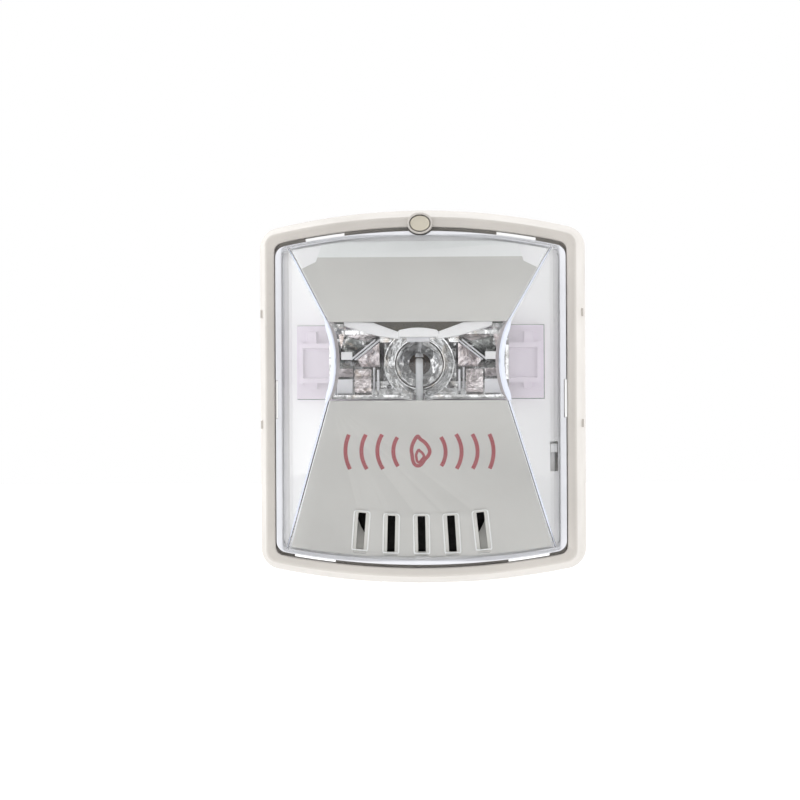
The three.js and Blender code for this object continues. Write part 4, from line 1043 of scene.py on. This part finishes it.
def tube_mat():
    m = Mat("xenon_glass")
    col = m.mix(m.mapr(m.noise(160, 3, 0.5), 0.35, 0.7, 0, 0.5), (0.80, 0.82, 0.84, 1), (0.66, 0.68, 0.70, 1))
    z = m.xyz()[2]
    dark = m.mapr(z, 0.0110, 0.0134, 0, 0.55)
    col = m.mix(dark, col, (0.30, 0.27, 0.25, 1))
    m.link(col, m.b.inputs["Base Color"])
    m.link(m.mapr(m.noise(300, 3, 0.6), 0.3, 0.7, 0.12, 0.3), m.b.inputs["Roughness"])
    m.b.inputs["IOR"].default_value = 1.47
    m.b.inputs["Coat Weight"].default_value = 0.6
    m.b.inputs["Coat Roughness"].default_value = 0.05
    m.link(m.bump(m.noise(900, 2, 0.5), 0.06, 0.00005), m.b.inputs["Normal"])
    return m.m

def board_mat():
    """Green solder mask: copper tracks under it and pale pads."""
    m = Mat("solder_mask")
    s = m.xyz()
    x, z = s[0], s[2]
    def stripes(v, period, duty, offset=0.0):
        a = m.math("ADD", v, offset)
        a = m.math("DIVIDE", a, period)
        a = m.math("FRACT", a)
        return m.math("LESS_THAN", a, duty)
    big = m.noise(70, 1, 0.5)
    tracks = m.math("MULTIPLY", stripes(x, 0.0031, 0.28, 0.1), m.math("GREATER_THAN", big, 0.5))
    tracks2 = m.math("MULTIPLY", stripes(z, 0.0027, 0.28, 0.1), m.math("LESS_THAN", big, 0.5))
    tr = m.math("MAXIMUM", tracks, tracks2)
    col = m.mix(tr, lin((36, 96, 62)), lin((58, 128, 84)))
    v = m.n("ShaderNodeTexVoronoi", feature="F1")
    v.inputs["Scale"].default_value = 170
    v.inputs["Randomness"].default_value = 0.9
    m.link(m.coord, v.inputs["Vector"])
    pad = m.math("LESS_THAN", v.outputs["Distance"], 0.10)
    col = m.mix(pad, col, lin((196, 190, 170)))
    col = m.mix(m.mapr(m.noise(40, 4, 0.6), 0.45, 0.75, 0, 0.35), col, lin((28, 78, 52)))
    m.link(col, m.b.inputs["Base Color"])
    m.link(m.mapr(m.noise(200, 3, 0.6), 0.3, 0.7, 0.28, 0.46), m.b.inputs["Roughness"])
    m.link(m.bump(m.math("MAXIMUM", tr, pad), 0.5, 0.00004), m.b.inputs["Normal"])
    return m.m

def winding_mat():
    """Enamelled copper wire laid side by side."""
    m = Mat("copper_winding")
    w = m.n("ShaderNodeTexWave", wave_type="BANDS", bands_direction="Z", wave_profile="SIN")
    w.inputs["Scale"].default_value = 520
    w.inputs["Distortion"].default_value = 0.6
    w.inputs["Detail"].default_value = 1
    m.link(m.coord, w.inputs["Vector"])
    col = m.mix(w.outputs["Fac"], lin((86, 40, 20)), lin((196, 112, 62)))
    m.link(col, m.b.inputs["Base Color"])
    m.b.inputs["Metallic"].default_value = 0.85
    m.link(m.mapr(m.noise(300, 3, 0.6), 0.3, 0.7, 0.24, 0.42), m.b.inputs["Roughness"])
    m.link(m.bump(w.outputs["Fac"], 0.8, 0.0002), m.b.inputs["Normal"])
    return m.m

M_INK, M_SCREEN, M_TUBE, M_BOARD, M_WIRE = ink(), screen_mat(), tube_mat(), board_mat(), winding_mat()
M_FRAME = plastic("frame_plastic", (222, 222, 226), 0.36, 0.8)
M_FLANGE = plastic("flange_white", (252, 252, 254), 0.34, 0.8)
M_PANEL_PAINTED_LIGHT = plastic("panel_painted_light", (253, 253, 255), 0.40, 0.7, edge=0.1)
M_PAINTED_HIGHLIGHT = plastic("panel_painted_highlight", (240, 243, 242), 0.46, 0.9)
M_BOOT = plastic("electrode_boot", (74, 56, 42), 0.6, 1.2, edge=0.3)
M_PALE = plastic("pale_plastic", (248, 249, 254), 0.42, 0.9)
M_OLIVE = plastic("shadowed_olive", (104, 96, 76), 0.6, 1.2, edge=0.3)
M_GASKET_PAINTED_LIGHT = plastic("gasket_painted_light", (252, 252, 254), 0.55, 0.8, edge=0.1)
M_CARRIER = plastic("carrier_plastic", (226, 215, 229), 0.42, 0.8)
M_RIM_HIGHLIGHT = plastic("rim_painted_highlight", (232, 233, 238), 0.42, 0.8, edge=0.1)
M_RIDGE_HIGHLIGHT = plastic("ridge_painted_highlight", (210, 215, 228), 0.22, 0.5, edge=0.1, spec=0.6)
M_RIDGE_SHADE = plastic("ridge_painted_shade", (186, 180, 182), 0.3, 0.5, edge=0.2)

housing(); lens(); panel(); pictogram(); reflector(); backing(); boot(); olive_strip(); wings(); gasket(); window_frame(); tube(); horn_screen(); screw_cap(); lens_ridge_highlights(); slot_edge_highlights()

# ------------------------------------------------------------------ smaller pieces: the CAD shapes with rounded edges
for node, body, slot, mat, w in [
        ("tube_grommet", "front_unit", "gasket", M_RUBBER, 0.2),
        ("electrode_cap", "front_unit", "steel", M_STEEL, 0.15), ("electrode_lead", "front_unit", "steel", M_STEEL, 0.0),
        ("horn_cup", "front_unit", "black_plastic", M_CUP, 0.2), ("piezo_disc", "front_unit", "brass", M_BRASS, 0.08),
        ("circuit_board", "front_unit", "board", M_BOARD, 0.1), ("storage_capacitor", "front_unit", "capacitor", M_BLUE, 0.9),
        ("inductor_core", "front_unit", "ferrite", M_FERRITE, 0.4), ("inductor_winding_left", "front_unit", "copper", M_WIRE, 0.5),
        ("inductor_winding_right", "front_unit", "copper", M_WIRE, 0.5), ("trigger_coil", "front_unit", "ferrite", M_FERRITE, 0.5),
        ("controller_chip", "front_unit", "black_plastic", M_BLACK, 0.15), ("pin_header", "front_unit", "black_plastic", M_BLACK, 0.12),
        ("tone_switch", "front_unit", "black_plastic", M_BLACK, 0.2), ("volume_switch", "front_unit", "black_plastic", M_BLACK, 0.2),
        ("candela_switch", "front_unit", "black_plastic", M_PALE, 0.2),
        ("tone_slider", "tone_knob", "red_plastic", M_RED, 0.2), ("volume_slider", "volume_knob", "slider_plastic", M_SLIDER, 0.2),
        ("candela_slider", "candela_knob", "slider_plastic", M_PALE, 0.2), ("rear_cover", "front_unit", "cover", M_COVER, 0.25),
        ("captive_screw", "captive_screw_body", "steel", M_STEEL, 0.12), ("retaining_washer", "captive_washer", "steel", M_STEEL, 0.08),
        ("mounting_plate", "wall_plate", "plate", M_PLATE, 0.25), ("terminal_block", "wall_plate", "black_plastic", M_BLACK, 0.25)]:
    refined(node, body, slot, mat, w)
for i in range(1, 5):
    refined(f"contact_pin_{i}", "front_unit", "brass", M_BRASS, 0.12)
    refined(f"cover_screw_{i}", "front_unit", "steel", M_STEEL, 0.12)
    refined(f"clamp_plate_{i}", f"clamp_{i}", "steel", M_STEEL, 0.1)
    refined(f"terminal_screw_{i}", f"terminal_{i}", "brass", M_BRASS, 0.12)
    refined(f"contact_clip_{i}", "wall_plate", "brass", M_BRASS, 0.05)

# ------------------------------------------------------------------ stage, light, camera
def floor():
    n, size, z = 24, 6.0, -0.20
    v = [(-size + 2 * size * i / n, -size + 2 * size * j / n, z) for j in range(n + 1) for i in range(n + 1)]
    f = [(j * (n + 1) + i, j * (n + 1) + i + 1, (j + 1) * (n + 1) + i + 1, (j + 1) * (n + 1) + i) for j in range(n) for i in range(n)]
    ob = from_data("studio_floor", v, f)
    m = Mat("studio_floor")
    m.link(m.mix(m.mapr(m.noise(3, 3, 0.5), 0.3, 0.7, 0, 1), (0.86, 0.86, 0.86, 1), (0.89, 0.89, 0.89, 1)), m.b.inputs["Base Color"])
    m.b.inputs["Roughness"].default_value = 0.8
    m.b.inputs["Emission Color"].default_value = (1, 1, 1, 1)
    m.b.inputs["Emission Strength"].default_value = 0.22
    ob.data.materials.append(m.m)
    ob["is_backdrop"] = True
    return ob
floor()

BACK_GAIN, NEAR_CAMERA, FRONT = 0.75, 0.42, 1.10
world = bpy.data.worlds.new("studio")
scene.world = world
world.use_nodes = True
wt = world.node_tree
wt.nodes.clear()
wo = wt.nodes.new("ShaderNodeOutputWorld")
bg_cam, bg_light = wt.nodes.new("ShaderNodeBackground"), wt.nodes.new("ShaderNodeBackground")
bg_cam.inputs[0].default_value, bg_cam.inputs[1].default_value = (1, 1, 1, 1), 1.0
mixw, lpw = wt.nodes.new("ShaderNodeMixShader"), wt.nodes.new("ShaderNodeLightPath")
geo = wt.nodes.new("ShaderNodeTexCoord")
sep = wt.nodes.new("ShaderNodeSeparateXYZ")
wt.links.new(geo.outputs["Generated"], sep.inputs[0])
def w_math(op, a, b=None):
    x = wt.nodes.new("ShaderNodeMath")
    x.operation = op
    for i, v in enumerate((a, b)):
        if v is None:
            continue
        if isinstance(v, (int, float)):
            x.inputs[i].default_value = v
        else:
            wt.links.new(v, x.inputs[i])
    return x.outputs[0]
def w_step(v, a, b, c, d):
    x = wt.nodes.new("ShaderNodeMapRange")
    x.interpolation_type = "SMOOTHSTEP"
    for i, val in zip(("From Min", "From Max", "To Min", "To Max"), (a, b, c, d)):
        x.inputs[i].default_value = val
    wt.links.new(v, x.inputs["Value"])
    return x.outputs["Result"]
# a light tent: bright behind and to the sides, softer in front, with a darker patch round the camera
behind = w_step(sep.outputs[1], 0.05, 0.45, 0.0, BACK_GAIN)
front = w_step(sep.outputs[1], -0.97, -0.80, NEAR_CAMERA, FRONT)
tilt = w_step(sep.outputs[0], -0.8, 0.8, 1.03, 0.96)
wt.links.new(w_math("ADD", behind, w_math("MULTIPLY", front, tilt)), bg_light.inputs[1])
bg_light.inputs[0].default_value = (1, 1, 1, 1)
wt.links.new(lpw.outputs["Is Camera Ray"], mixw.inputs[0])
wt.links.new(bg_light.outputs[0], mixw.inputs[1])
wt.links.new(bg_cam.outputs[0], mixw.inputs[2])
wt.links.new(mixw.outputs[0], wo.inputs[0])

def area(name, loc, target, size, power, color=(1, 1, 1), size_y=None):
    d = bpy.data.lights.new(name, "AREA")
    d.shape, d.size, d.size_y, d.energy, d.color = "RECTANGLE", size, size_y or size, power, color
    ob = bpy.data.objects.new(name, d)
    scene.collection.objects.link(ob)
    ob.location = loc
    ob.rotation_euler = (Vector(target) - Vector(loc)).to_track_quat("-Z", "Y").to_euler()
    return ob
area("softbox_left", (-1.0, -0.45, 0.25), (0, -0.03, 0), 0.7, 1.3, size_y=0.9)

cam = bpy.data.cameras.new("camera")
cam_ob = bpy.data.objects.new("camera", cam)
scene.collection.objects.link(cam_ob)
scene.camera = cam_ob
cam.sensor_width, cam.lens, cam.clip_start, cam.clip_end = 36.0, 138.6, 0.05, 30.0
EYE, AIM, ROLL = Vector((0.035, -1.1, 0.0)), Vector((-0.0082, 0.0, -0.0011)), -0.29
cam_ob.location = EYE
q = (AIM - EYE).to_track_quat("-Z", "Y")
cam_ob.rotation_euler = (q.to_matrix() @ Matrix.Rotation(math.radians(ROLL), 3, "Z")).to_euler()

scene.view_settings.view_transform = "Standard"
scene.view_settings.look = "None"

def plain(b):
    return [[float(v) for v in c] for c in b] if hasattr(b, "__len__") else b
{"cad": plain(CAD_BOX), "visual": plain(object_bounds())}
